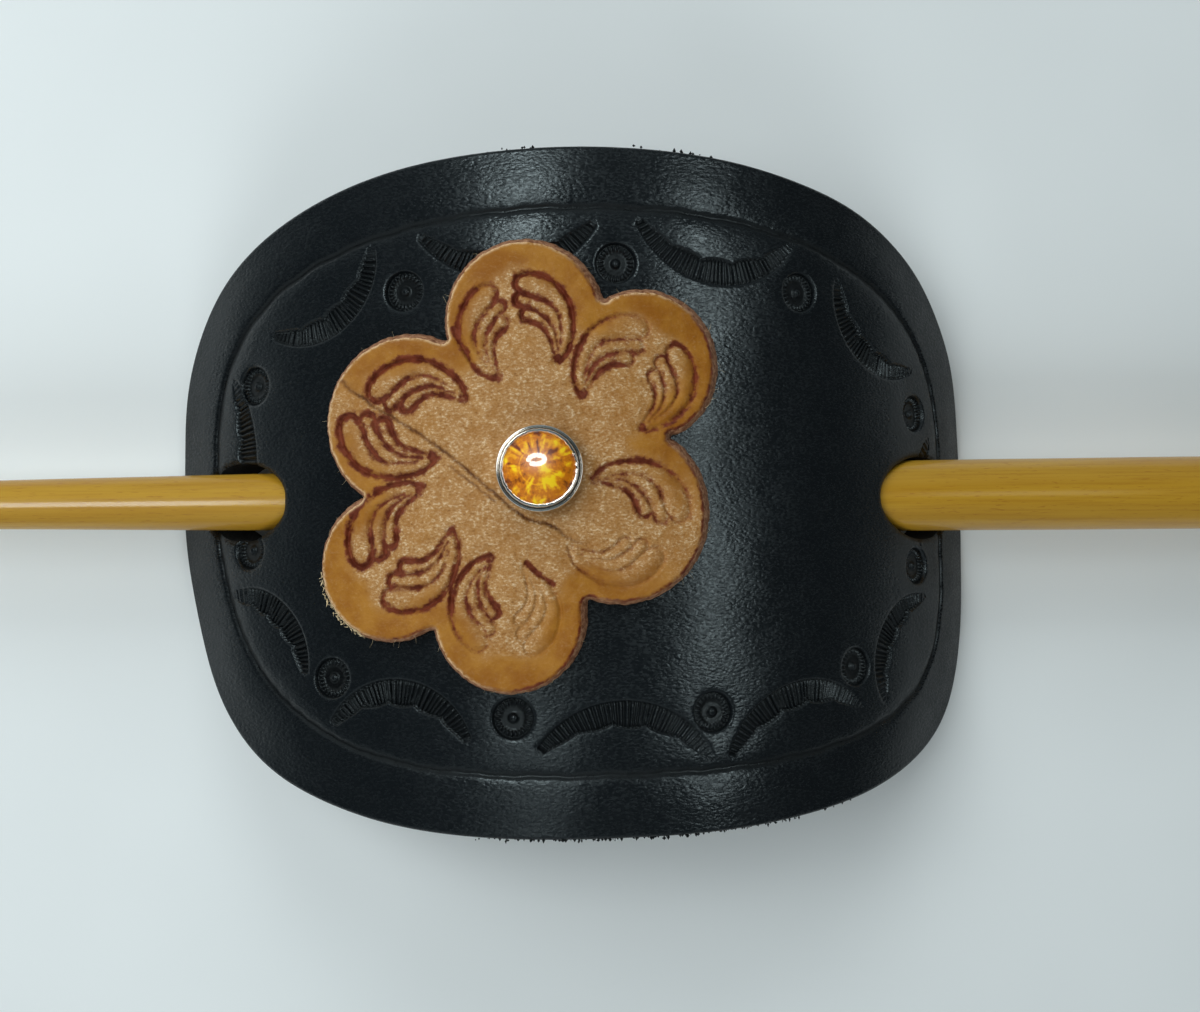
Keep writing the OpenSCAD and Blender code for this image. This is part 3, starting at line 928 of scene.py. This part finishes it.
def leather_relief(points, from_edge, holes):
    """Height of the black leather's top above radius ARCH_R, and how far it is pressed."""
    u, v = points.T
    height = swell(u, v) + 0.08 * bell(from_edge, 3.2, 1.8)
    wavy = from_edge + 0.06 * np.sin(0.9 * u + 0.7 * v) + 0.04 * np.sin(2.3 * u - 1.9 * v)
    height -= BORDER_DEEP * bell(wavy, BORDER_IN, BORDER_WIDE) + SAG_DEEP * bell(wavy, SAG_IN, SAG_WIDE)
    # How far pressed; this share also darkens the stamps and the border line as painted shade in the black
    # leather's colour.
    pressed = 0.9 * bell(wavy, BORDER_IN, 0.36)
    stamps = [crescent.relief for crescent in crescents] + [
        (lambda p, u0=u0, v0=v0: round_stamp(p, u0, v0)) for u0, v0 in ROUND_STAMPS
    ]
    for stamp in stamps:
        drop, deep = stamp(points)
        height = height + drop
        pressed = np.maximum(pressed, deep)
    for loop in holes:
        near = to_line(points, loop, closed=True)[0]
        height -= LIP_DEEP * np.clip(1 - near / LIP_REACH, 0, 1) ** 2
    return height, np.clip(pressed, 0, 1)


def back_points(edge, outer, holes):
    """Points that carry the black leather's top, and the places of its loops among them."""
    fixed = [outer] + holes
    starts = np.cumsum([0] + [len(loop) for loop in fixed])
    points = np.vstack(fixed)
    lips = [inward(loop, -gap) for loop in holes[:2] for gap in (0.12, 0.28, 0.48, 0.75)]
    turn = np.linspace(0, math.tau, 96, endpoint=False)
    radii = (0.15, 0.3, 0.42, 0.5, 0.7, 0.98, 1.26, 1.38, 1.5, 1.66, 1.82, 1.94, 2.02, 2.1, 2.2, 2.45, 2.7)
    discs = [np.array((u, v)) + r * np.c_[np.cos(turn), np.sin(turn)] for u, v in ROUND_STAMPS for r in radii]
    insets = (0.5, 0.75, 1.3, 2.2, 3.3, 4.4, 5.4, 5.8, 5.94, 6.02, 6.09, 6.15, 6.22, 6.3, 6.38, 6.46, 6.56,
              6.67, 6.78, 6.9, 7.05, 7.25, 7.6, 8.1)
    rings = [inward(edge, inset) for inset in insets]
    ribs = [crescent.samples() for crescent in crescents]
    field = [lattice(*BACK_CORNERS, BACK_PITCH)]
    for batch, distance in ((lips, 0.05), (discs, 0.07), (ribs, 0.06), (rings, 0.06), (field, 0.35)):
        more = np.vstack(batch)
        more = more[open_at(more, outer, holes)]
        points = np.vstack([points, clear_of(more, points, distance)])
    return points, [np.arange(a, b) for a, b in zip(starts, starts[1:])]


def leather_back(materials):
    """One bent wall with a rounded edge, border line and stamps pressed in, and holes for stick and rivet."""
    edge = grown_edge()
    outer = inward(edge, EDGE_ROUND)
    holes = holes_at(ARCH_R, POST_ROOM_TOP)
    points, loops = back_points(edge, outer, holes)
    flat, top, place = triangulate(points, loops)
    top = top[open_at(flat[top].mean(1), outer, holes)]
    from_edge = np.where(inside(flat, edge_outline()), to_line(flat, edge_outline(), closed=True)[0], 0)
    height, pressed = leather_relief(flat, from_edge, holes)
    values = {"pressed": pressed, "border": ease(from_edge, 6.2, 5.6)}
    wall = Wall(bent, flat, ARCH_R + height, top, values)
    row = place[loops[0]]
    start = ARCH_R + height[row]
    for step in np.linspace(0, 1, 8)[1:]:
        a = step * math.pi / 2
        drop = EDGE_ROUND * (1 - math.cos(a))
        after = wall.ring(inward(edge, EDGE_ROUND * (1 - math.sin(a))), start - drop)
        wall.join(after, row, 0 if step < 0.6 else 1)
        row = after
    wobble = 0.04 * np.sin(np.arange(EDGE_POINTS) * 0.9) * np.sin(np.arange(EDGE_POINTS) * 0.37)
    for radius in (INNER_R + 1.4, INNER_R + UNDER_ROUND):
        after = wall.ring(inward(edge, SIDE_IN + wobble[:, None]), radius)
        wall.join(after, row)
        row = after
    for step in np.linspace(0, 1, 5)[1:]:
        a = step * math.pi / 2
        inset = SIDE_IN + UNDER_ROUND * (1 - math.cos(a))
        after = wall.ring(inward(edge, inset), INNER_R + UNDER_ROUND * (1 - math.sin(a)))
        wall.join(after, row)
        row = after

    below_holes = holes_at(INNER_R, POST_ROOM_BELOW)
    under_edge = inward(edge, SIDE_IN + UNDER_ROUND)
    field = lattice(*BACK_CORNERS, UNDER_PITCH)
    bottoms = wall.underside(under_edge, below_holes, INNER_R, field, 0.6, loops)
    wall.join(bottoms[0], row)
    for loop, hole, low_hole, bottom in zip(loops[1:], holes, below_holes, bottoms[1:]):
        row = place[loop]
        top_r = ARCH_R + height[row]
        for share, tight in ((0.12, 0.8 * LIP), (0.5, LIP), (0.9, 0.8 * LIP)):
            between = inward(hole + (low_hole - hole) * share, tight)
            after = wall.ring(between, top_r + (INNER_R - top_r) * share)
            wall.join(row, after)
            row = after
        wall.join(row, bottom)
    piece = wall.piece("back", materials)
    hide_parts("leather_back")
    return piece


def crumbs(material):
    """Loose bits of leather that cling to the cut edge."""
    rng = np.random.default_rng(SEEDS["crumbs"])
    edge = grown_edge()
    corners, faces = [], []
    lump = np.array([(1, 0, 0), (-1, 0, 0), (0, 1, 0), (0, -1, 0), (0, 0, 1), (0, 0, -1)], float)
    sides = [(0, 2, 4), (2, 1, 4), (1, 3, 4), (3, 0, 4), (2, 0, 5), (1, 2, 5), (3, 1, 5), (0, 3, 5)]
    for low_u, high_u, side, many in CRUMB_RUNS:
        near = edge[(edge[:, 0] > low_u) & (edge[:, 0] < high_u) & (edge[:, 1] * side > 0)]
        for _ in range(many):
            at = near[rng.integers(len(near))] + (rng.uniform(-0.1, 0.1), side * 0.26 * rng.uniform() ** 2)
            radius = ARCH_R - rng.uniform(0.3, 1.3)
            size = rng.uniform(0.07, 0.17) * rng.uniform(0.6, 1.4, 3) * (1, rng.uniform(1, 2), 1)
            shape = lump * size * rng.uniform(0.7, 1.3, (6, 1))
            start = 6 * len(corners)
            corners.append(bent(at[None], radius) + shape)
            faces += [tuple(start + k for k in side_of) for side_of in sides]
    piece = make_piece("crumbs", np.vstack(corners), faces, [material])
    return piece


def hairs(material):
    """Fine fibres that stand out from the flower's cut edge."""
    rng = np.random.default_rng(SEEDS["hairs"])
    edge = flower_outline()
    out = edge - inward(edge, 0.01)
    out /= np.hypot(out[:, 0], out[:, 1])[:, None]
    corners, faces = [], []
    steps, sides = 6, 3
    share = np.linspace(0, 1, steps)
    for _ in range(HAIR_COUNT):
        k = rng.integers(len(edge))
        way = out[k] + rng.uniform(-1.2, 1.2) * np.array((-out[k][1], out[k][0]))
        across = np.array((-way[1], way[0]))
        length, curl = rng.uniform(0.25, 0.8), rng.uniform(-0.8, 0.8)
        line = edge[k] + share[:, None] * length * way + (curl * length * share ** 2)[:, None] * across
        radius = FLOWER_TOP_R - rng.uniform(0.3, 1.4) + 0.3 * share * rng.uniform(-1, 1)
        thick = 0.016 * (1 - 0.7 * share)
        rows = [on_flower(line + thick[:, None] * math.cos(turn) * across, radius + thick * math.sin(turn))
                for turn in np.arange(sides) * math.tau / sides]
        start = len(corners) * steps * sides
        corners.append(np.hstack(rows).reshape(-1, 3))
        for i in range(steps - 1):
            for j in range(sides):
                a, b = start + i * sides + j, start + i * sides + (j + 1) % sides
                faces.append((a, b, b + sides, a + sides))
    piece = make_piece("hairs", np.vstack(corners), faces, [material])
    return piece


def tatters(material):
    """Pale torn shreds along the frayed stretch of the flower's edge."""
    rng = np.random.default_rng(SEEDS["tatters"])
    edge = flower_outline()
    faces_to, growth, _ = zip(*FLOWER_EDGE)
    edge = inward(edge, -np.interp(facing_of(edge), faces_to, growth)[:, None])
    near = np.flatnonzero(np.hypot(*(edge - FRAYED_AT).T) < FRAYED_REACH)
    ends = ((0, 2, 1), (0, 3, 2), (4, 5, 6), (4, 6, 7))
    sides = ends + ((0, 1, 5, 4), (1, 2, 6, 5), (2, 3, 7, 6), (3, 0, 4, 7))
    corners, faces = [], []
    for _ in range(TATTER_COUNT):
        k = near[rng.integers(len(near))]
        along = (edge[(k + 1) % len(edge)] - edge[k]) / np.hypot(*(edge[(k + 1) % len(edge)] - edge[k]))
        out = np.array((along[1], -along[0]))
        way = along * rng.uniform(-1, 1) + out * rng.uniform(0.0, 0.7)
        start = edge[k] + out * rng.uniform(-0.15, 0.08)
        length, wide = rng.uniform(0.2, 0.6), rng.uniform(0.03, 0.09)
        radius = FLOWER_R + rng.uniform(0.7, 1.75)
        across = np.array((-way[1], way[0])) * wide
        halfway = start + way * length * 0.5 + across
        spots = np.array([start + across, start - across, start + way * length, halfway])
        base = len(corners) * 8
        shape = np.vstack([on_flower(spots, radius), on_flower(spots, radius + rng.uniform(0.04, 0.10))])
        corners.append(shape)
        faces += [[base + i for i in side] for side in sides]
    piece = make_piece("tatters", np.vstack(corners), faces, [material])
    return piece


# Flower

def shell_lines():
    """The stamp's cut lines, smoothed."""
    return [spline(knots, 6) for knots in SHELL.values()]


def struck(points):
    """Height and stain that the shell stamps leave at each point, and the distance to the nearest cut."""
    height = np.zeros(len(points))
    stain = np.zeros(len(points))
    nearest = np.full(len(points), 99.0)
    x, y = points.T
    uneven = 1 + 0.22 * np.sin(1.9 * x + 1.3 * y) * np.sin(2.7 * y - 0.9 * x + 1)
    uneven += 0.10 * np.sin(6.1 * x + 2) * np.sin(5.3 * y)
    for s, t, direction, side, scale, press, fade, soaked in SHELL_PLACES:
        a = math.radians(direction)
        local = (points - (s, t)) @ np.array([[math.cos(a), -math.sin(a)], [math.sin(a), math.cos(a)]])
        local = local * (1, side) / scale
        close = np.flatnonzero((np.abs(local[:, 0] - 5) < 7) & (np.abs(local[:, 1] - 1.6) < 4.5))
        if not len(close):
            continue
        here = local[close]
        strength = press * (1 - fade * ease(here[:, 0], 2, 10))
        deepest = np.zeros(len(here))
        darkest = np.zeros(len(here))
        for line in shell_lines():
            far, k, share, way = to_line(here, line[:, :2])
            k = k.astype(int)
            depth = line[k, 2] + (line[k + 1, 2] - line[k, 2]) * share
            wide = np.where(way > 0, 0.17, 0.36)
            deepest = np.maximum(deepest, depth * np.exp(-((far / wide) ** 2)))
            reach = 0.74 * uneven[close] * (0.5 + 0.5 * depth)
            darkest = np.maximum(darkest, (0.3 + 0.7 * depth) * np.clip(1 - far / reach, 0, 1))
            nearest[close] = np.minimum(nearest[close], far * scale)
        tail = np.hypot(here[:, 0] - 0.5, here[:, 1] - 0.3)
        deepest = np.maximum(deepest, 0.7 * np.exp(-((tail / 0.5) ** 3)))
        darkest = np.maximum(darkest, 0.8 * np.clip(1.5 - tail / 0.6, 0, 1))
        height[close] = np.minimum(height[close], -CUT_DEEP * strength ** 0.8 * deepest)
        stain[close] = np.maximum(stain[close], soaked * darkest * np.clip(1.5 * strength - 0.15, 0, 1))
    for stroke in STROKES:
        far = to_line(points, np.array(stroke))[0]
        height = np.minimum(height, -STROKE_DEEP * bell(far, 0, 0.22))
        stain = np.maximum(stain, np.clip(1 - far / 0.55, 0, 1))
        nearest = np.minimum(nearest, far)
    sunk = -0.10 * ease(nearest, 1.6, 0.3)
    return height + sunk, stain, nearest


def jagged(line):
    """An open line cut up finely and made to wander a little."""
    fine = spline(line, 24)
    step = np.arange(len(fine))
    slow = 0.07 * np.sin(0.43 * step) * np.sin(0.17 * step + 1)
    fine[:, 1] += slow + 0.04 * np.sin(1.1 * step + 2 * np.sin(0.3 * step))
    return fine


def flower_points(edge, hole, folded, cracked):
    """Points that carry the flower's top, its edge and hole first, closest along the cuts and the fold."""
    rings = [inward(edge, inset) for inset in (0.06, 0.13, 0.22, 0.34, 0.46, 0.55, 0.64, 0.75, 0.95, 1.2)]
    points = np.vstack([edge, hole] + rings)
    fine = lattice(edge.min(0), edge.max(0), 0.125)
    fine = fine[inside(fine, rings[-1])]
    fine = fine[struck(fine)[2] < 0.5]
    gaps = (-0.42, -0.3, -0.2, -0.11, 0, 0.11, 0.2, 0.3, 0.42)
    beside = np.vstack([line + (0, gap) for line in (folded, cracked) for gap in gaps])
    beside = beside[inside(beside, rings[-1])]
    wide = lattice(edge.min(0), edge.max(0), FLOWER_PITCH)
    wide = wide[inside(wide, rings[-1])]
    for more, distance in ((beside, 0.07), (fine, 0.07), (wide, 0.16)):
        more = more[~inside(more, hole)]
        points = np.vstack([points, clear_of(more, points, distance)])
    return points


def flower_relief(flat, edge, facing, folded, cracked):
    """Height of the flower's top above FLOWER_TOP_R, and the data of each point."""
    from_edge, near_stretch = to_line(flat, edge, closed=True)[:2]
    height, stain, struck_far = struck(flat)
    fold_far, _, _, fold_side = to_line(flat, folded)
    crack_far = to_line(flat, cracked)[0]
    fold = np.maximum(bell(fold_far, 0, 0.16), 0.7 * bell(crack_far, 0, 0.12))
    fold *= (1 - 0.8 * ease(flat[:, 0], 3.0, 7.0)) * (0.8 + 0.2 * np.sin(2.3 * flat[:, 0]))
    sunk_side = 0.07 * (fold_side > 0) * np.exp(-fold_far / 1.2)
    height -= FOLD_DEEP * fold + 0.12 * bell(fold_far, 0, 0.7) + sunk_side
    height += 0.05 * bell(fold_far, 0.30, 0.14) * (fold_side < 0)
    centre_far = np.hypot(flat[:, 0] - 1.5, flat[:, 1])
    height *= ease(from_edge, 0.2, 1.2)
    height -= RIM_DEEP * np.clip(1 - from_edge / RIM_WIDE, 0, 1) ** 2
    height -= 0.06 * ease(centre_far, 6.2, 4.6)
    height += 0.07 * np.sin(0.5 * flat[:, 0] + 1) * np.sin(0.45 * flat[:, 1]) - 0.05
    # Painted light on the rim: sides facing the light get a pale painted highlight line (rim), sides turned
    # away a dark painted shade line, which goes into the stain data.
    side = facing[near_stretch.astype(int)]
    lit_side = ease(np.abs((side - 150 + 180) % 360 - 180), 130, 60)
    painted_shade_line = 0.62 * bell(from_edge, 0.10, 0.26) * (1 - lit_side)
    worked = ease(struck_far, 2.2, 0.6)
    waves = 0.9 * np.sin(0.8 * flat[:, 0] + 2) * np.sin(0.7 * flat[:, 1] + 0.5)
    handled = ease(from_edge + waves, 4.6, 1.6) + 0.35 * ease(centre_far, 8, 13) - 0.35 * worked
    handled = np.clip(handled, 0.05, 1)
    for s, t, width in PALE_SPOTS:
        handled *= 1 - 0.9 * bell(np.hypot(flat[:, 0] - s, flat[:, 1] - t), 0, width)
    # stain holds the real stain and the painted shade line; rim holds the painted highlight line.
    return height, {"stain": np.maximum(stain, painted_shade_line), "rim": bell(from_edge, 0.06, 0.15) * lit_side,
                    "fold": fold, "handled": handled, "torn": np.zeros(len(flat))}


def flower(materials):
    """Six-petalled flower of thick leather: bevelled rim, shell stamps, an old fold, a hole for the rivet."""
    bare = flower_outline()
    facing = facing_of(bare)
    faces_to, growth, set_back = zip(*FLOWER_EDGE)
    grow, brow = (np.interp(facing, faces_to, column)[:, None] for column in (growth, set_back))
    foot = inward(bare, -grow)
    edge = inward(foot, brow)

    def post_hole(radius):
        turn = np.linspace(0, math.tau, 32, endpoint=False)
        a = SETTING_TURN - FLOWER_TURN + np.arcsin(POST_R * np.cos(turn) / radius)
        return np.c_[radius * np.sin(a), SETTING_V - FLOWER_V + POST_R * np.sin(turn)]

    hole = post_hole(FLOWER_TOP_R)
    folded, cracked = (jagged(np.array(line)) for line in (CREASE, SIDE_CRACK))
    loops = [np.arange(len(edge)), len(edge) + np.arange(len(hole))]
    flat, top, place = triangulate(flower_points(edge, hole, folded, cracked), loops)
    top = top[open_at(flat[top].mean(1), edge, [hole])]
    height, values = flower_relief(flat, edge, facing, folded, cracked)
    wall = Wall(on_flower, flat, FLOWER_TOP_R + height, top, values)
    frayed = bell(np.hypot(*(bare - FRAYED_AT).T), 0, 4.5)
    row = place[loops[0]]
    for share in (0.15, 0.35, 0.6, 0.85, 0.95):
        flare = 0.06 * np.sin(np.arange(EDGE_POINTS) * 0.7) * np.sin(np.arange(EDGE_POINTS) * 0.19 + share)
        inset = brow * (1 - min(1, share / 0.6) ** 0.8) + 0.12 * max(0, share - 0.85) / 0.1
        inset = inset + flare[:, None] * (1 - share)
        radius = FLOWER_TOP_R - RIM_DEEP - (FLOWER_T - RIM_DEEP) * share
        after = wall.ring(inward(foot, inset), radius, torn=frayed)
        wall.join(after, row)
        row = after
    under_edge = inward(foot, 0.12)
    field = lattice(edge.min(0) - 0.3, edge.max(0) + 0.3, FLOWER_UNDER_PITCH)
    bottom, bottom_hole = wall.underside(under_edge, [post_hole(FLOWER_R)], FLOWER_R, field, 0.4, loops)
    wall.join(bottom, row)
    wall.join(place[loops[1]], bottom_hole)
    piece = wall.piece("flower", materials)
    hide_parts("leather_flower")
    return piece


# Setting and stone

def setting(material):
    """Cup with a low outer ring and a taller inner one, its lip rubbed over the stone."""
    knots = [
        (3.9, 0.0), (4.2, 0.1), (4.32, 0.45), (4.34, 1.1), (4.33, 1.62), (4.25, 1.86), (4.12, 1.93),
        (4.02, 1.84), (3.96, 1.66), (3.90, 1.84), (3.90, 2.15), (3.88, 2.38), (3.82, 2.50), (3.72, 2.57),
        (3.60, 2.52), (3.52, 2.42), (3.56, 2.30), (3.78, 2.12), (3.80, 1.9), (3.80, 0.6), (3.6, 0.5),
    ]
    profile = np.vstack([[(0, 0)], spline(knots, 4), [(0, 0.5)]])
    corners, faces = turned(profile, ROUND_SIDES)
    a = np.arctan2(corners[:, 1], corners[:, 0])
    lip = ease(corners[:, 2], 2.1, 2.4)
    rubbed = 0.014 * np.sin(23 * a + 1.5 * np.sin(5 * a)) + 0.010 * np.sin(37 * a + 2 * np.sin(3 * a))
    corners[:, :2] *= (1 - lip * rubbed / 3.7)[:, None]
    corners[:, 2] += 0.5 * lip * rubbed
    placed = on_arch(corners, SETTING_TURN, SETTING_V, SETTING_BASE_R)
    piece = make_piece("setting", placed, faces, [material])
    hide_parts("bezel_setting")
    return piece


def stone(material):
    """Dome over a faceted back."""
    girdle_r, table_r, low, back_h, girdle_t, dome_h = 3.8, 1.7, 0.56, 1.2, 0.3, 1.6
    facets, sides, bands = 12, ROUND_SIDES, 46
    dome_r = (girdle_r ** 2 + dome_h ** 2) / (2 * dome_h)
    top = low + back_h + girdle_t + dome_h
    half = math.asin(girdle_r / dome_r)
    tilts = np.linspace(0, half, bands)
    profile = [(dome_r * math.sin(a), top - dome_r + dome_r * math.cos(a)) for a in tilts]
    profile.append((girdle_r, low + back_h))
    turn = np.linspace(0, math.tau, sides, endpoint=False)
    corners = [np.array([[0, 0, profile[0][1]]])]
    corners += [np.c_[r * np.cos(turn), r * np.sin(turn), np.full(sides, z)] for r, z in profile[1:]]
    rows = [1 + sides * i + np.arange(sides) for i in range(len(profile) - 1)]
    faces = [np.c_[np.zeros(sides), rows[0], np.roll(rows[0], -1)]]
    faces += [strip(two, one) for one, two in zip(rows, rows[1:])]
    table_turn = (np.arange(facets) + 0.5) * math.tau / facets
    table = np.c_[table_r * np.cos(table_turn), table_r * np.sin(table_turn), np.full(facets, low)]
    first = 1 + sides * len(rows)
    corners += [table, [[0, 0, low]]]
    step = sides // facets
    back = []
    for i in range(facets):
        here, after = first + (i - 1) % facets, first + i
        spokes = rows[-1][[(i * step + k - step // 2) % sides for k in range(step + 1)]]
        back += [(spokes[k], here if k < step // 2 else after, spokes[k + 1]) for k in range(step)]
        back.append((spokes[step // 2], here, after))
        back.append((here, first + facets, after))
    faces.append(np.array(back))
    corners = np.vstack(corners)
    placed = on_arch(corners, SETTING_TURN, SETTING_V, SETTING_BASE_R)
    # shade holds the foil's painted reflections.
    values = {"shade": foil_painted_reflections(corners[:, :2])}
    piece = make_piece("stone_dome", placed, np.vstack(faces).astype(int), [material], values=values)
    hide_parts("stone")
    return piece


def foil_painted_reflections(flat):
    """Brightness painted into the foil: reflections of folds that run outwards, painted glints and dark
    reflections, and a painted highlight along one side of the table's thin edge.
    """
    rng = np.random.default_rng(SEEDS["foil"])
    x, y = flat.T
    turn, far = np.arctan2(y, x), np.hypot(x, y)
    # Facets lighter and darker by turns: painted reflections.
    shade = 0.36 + 0.10 * np.sin(12 * turn + 1.5 * np.sin(3 * turn)) * ease(far, 0.8, 1.8)
    for _ in range(56):
        a, middle, length = rng.uniform(0, math.tau), rng.uniform(1.4, 3.3), rng.uniform(0.25, 0.65)
        along = x * math.cos(a) + y * math.sin(a)
        across = y * math.cos(a) - x * math.sin(a)
        gain = rng.choice((-0.32, -0.2, 0.28, 0.4))
        shade += gain * bell(across, 0, rng.uniform(0.06, 0.14)) * bell(along, middle, length)
    x = x + 0.10 * np.sin(5.3 * y + 1) + 0.06 * np.sin(9.1 * y + 2 * x)
    y = y + 0.10 * np.sin(4.7 * x + 2) + 0.06 * np.sin(8.3 * x - 2 * y)
    for at_x, at_y, wide, high, gain in PAINTED_GLINTS:
        shade += gain * np.exp(-(((x - at_x) / wide) ** 2 + ((y - at_y) / high) ** 2))
    # Painted highlight on the table's edge, on one side only.
    ring = np.hypot(flat[:, 0] + 0.15, flat[:, 1] - 0.05)
    shade += 0.35 * bell(ring, 1.75, 0.06) * ease(-flat[:, 0] - flat[:, 1], -0.6, 1.0)
    return shade


# Stick

def stick(material):
    """Round tapered stick with a rounded nose and a softened rim, very slightly uneven."""
    half = STICK_L / 2
    x = np.r_[
        -half + STICK_NOSE_L * (1 - np.cos(np.linspace(0, math.pi / 2, 14)[1:-1])),
        np.linspace(-half + STICK_NOSE_L, half - STICK_RIM_R, 220),
        half - STICK_RIM_R * (1 - np.sin(np.linspace(0, math.pi / 2, 10)[1:])),
    ]
    r = stick_d(x) / 2
    nose_from = -half + STICK_NOSE_L
    nose = x < nose_from
    r[nose] = stick_d(nose_from) / 2 * np.sqrt(1 - ((nose_from - x[nose]) / STICK_NOSE_L) ** 2)
    rim = x > half - STICK_RIM_R
    rounded = np.sqrt(np.maximum(STICK_RIM_R ** 2 - (x[rim] - half + STICK_RIM_R) ** 2, 0))
    r[rim] = stick_d(half - STICK_RIM_R) / 2 - STICK_RIM_R + rounded
    profile = np.vstack([[(0, -half)], np.c_[r, x], [(0, half)]])
    corners, faces = turned(profile, STICK_SIDES)
    a = np.arctan2(corners[:, 1], corners[:, 0])
    uneven = 1 + 0.004 * np.sin(2 * a + 0.05 * corners[:, 2]) + 0.002 * np.sin(0.31 * corners[:, 2] + a)
    corners[:, :2] *= (uneven * (1 + 2 * STICK_GROW / STICK_MID_D))[:, None]
    lie = STICK_LIE[0] + STICK_LIE[1] * corners[:, 2]
    placed = np.c_[corners[:, 2], STICK_Y + lie + corners[:, 0], STICK_Z + corners[:, 1]]
    piece = make_piece("stick_shaft", placed, faces, [material], body="stick")
    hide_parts("stick")
    return piece


# Surroundings

def camera():
    data = bpy.data.cameras.new("camera")
    data.sensor_width = SENSOR_WIDE
    data.lens = FOCAL_PX / PHOTO_WIDE * SENSOR_WIDE
    data.clip_start = CAMERA_NEAREST
    holder = bpy.data.objects.new("camera", data)
    turns = [Matrix.Rotation(CAMERA_TURNS[axis], 4, axis) for axis in ("Z", "X", "Y")]
    holder.matrix_world = Matrix.Translation(Vector(CAMERA_AT) * MM) @ turns[0] @ turns[1] @ turns[2]
    bpy.context.scene.collection.objects.link(holder)
    bpy.context.scene.camera = holder


def facing_axes(way):
    """Turn of a light that stands in a direction and faces the middle, with its width along x."""
    right = (Vector((1, 0, 0)) - way * way.x).normalized()
    return Matrix((right, way.cross(right), way)).transposed()


def soft_light(name, slope, half, high, radiance, tint=COOL):
    """Rectangle of light that faces the object, at x and y per unit of height above it."""
    data = bpy.data.lights.new(name, "AREA")
    data.shape = "RECTANGLE"
    data.size, data.size_y = 2 * half[0] * high, 2 * half[1] * high
    data.energy = radiance * math.pi * data.size * data.size_y
    data.color = tint
    light = bpy.data.objects.new(name, data)
    at = Vector((slope[0], slope[1], 1)) * high
    light.matrix_world = Matrix.Translation(at) @ facing_axes(at.normalized()).to_4x4()
    light.visible_glossy = name not in SOFT_LIGHTS
    light.visible_diffuse = name in SOFT_LIGHTS
    bpy.context.scene.collection.objects.link(light)
    return light


def shine_on(lights, piece):
    """Let these lights reach this piece only."""
    group = bpy.data.collections.new("lit_by_" + lights[0].name)
    group.objects.link(piece)
    for light in lights:
        light.light_linking.receiver_collection = group


def ring_lamp():
    """Nearly closed ring of small round lights."""
    lights = []
    way = Vector(RING_TOWARDS).normalized()
    axes = facing_axes(way)
    for i, turn in enumerate(np.radians(np.linspace(RING_START, RING_START + RING_SPAN, RING_COUNT))):
        data = bpy.data.lights.new(f"ring_{i}", "AREA")
        data.shape = "DISK"
        data.size = RING_THICK
        data.energy = RING_RADIANCE * math.pi ** 2 * (RING_THICK / 2) ** 2
        data.color = COOL
        light = bpy.data.objects.new(data.name, data)
        at = axes @ Vector((RING_HALF[0] * math.cos(turn), RING_HALF[1] * math.sin(turn), RING_FAR))
        light.matrix_world = Matrix.Translation(at) @ axes.to_4x4()
        light.visible_diffuse = False
        bpy.context.scene.collection.objects.link(light)
        lights.append(light)
    return lights


def surroundings(back, rod, cup, gem):
    """Lights, floor and view. Each group of shining lamps shows in one piece only."""
    bpy.context.scene.view_settings.view_transform = "Standard"
    for name, row in SOFT_LIGHTS.items():
        soft_light(name, *row)
    shine_on([soft_light(name, *row, SHINE_TINT) for name, row in SHINE_LAMPS.items()], back)
    shine_on([soft_light(name, *row) for name, row in STICK_LAMPS.items()], rod)
    shine_on([soft_light(name, *row, WARM) for name, row in CUP_LAMPS.items()], cup)
    shine_on(ring_lamp(), gem)
    world = bpy.data.worlds.new("world")
    world.use_nodes = True
    tree = world.node_tree
    looking = add(tree, "ShaderNodeTexCoord").outputs["Generated"]
    way = add(tree, "ShaderNodeSeparateXYZ", None, Vector=looking)
    room = blend_colour(tree, ranged(tree, way.outputs["X"], 0.0, 0.6), ROOM_LIGHT, ROOM_RIGHT)
    overhead = ranged(tree, way.outputs["Z"], 0.10, 0.36)
    aside = ranged(tree, math_node(tree, "ABSOLUTE", way.outputs["Y"]), 0.30, 0.65, 1.0, 0.0)
    colour = blend_colour(tree, times(tree, overhead, aside), room, ROOM_DARK)
    tree.links.new(colour, tree.nodes["Background"].inputs["Color"])
    bpy.context.scene.world = world
    mesh = bpy.data.meshes.new("floor")
    corners = [(x * FLOOR_HALF, y * FLOOR_HALF, 0) for x, y in ((-1, -1), (1, -1), (1, 1), (-1, 1))]
    mesh.from_pydata(corners, [], [(0, 1, 2, 3)])
    mesh.materials.append(floor_paint())
    floor = bpy.data.objects.new("floor", mesh)
    bpy.context.scene.collection.objects.link(floor)


camera()
crescents = [Crescent(*row) for row in CRESCENTS]
back = leather_back([black_leather(), cut_leather()])
crumbs(cut_leather())
flower([tan_leather(), burnished_edge()])
torn = fibre("fibre", (0.80, 0.62, 0.38))
hairs(torn)
tatters(torn)
cup = setting(silver())
gem = stone(orange_stone())
rod = stick(lacquered_wood())
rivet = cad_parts["rivet_back"]
rivet.data.materials.clear()
rivet.data.materials.append(nickel())
surroundings(back, rod, cup, gem)
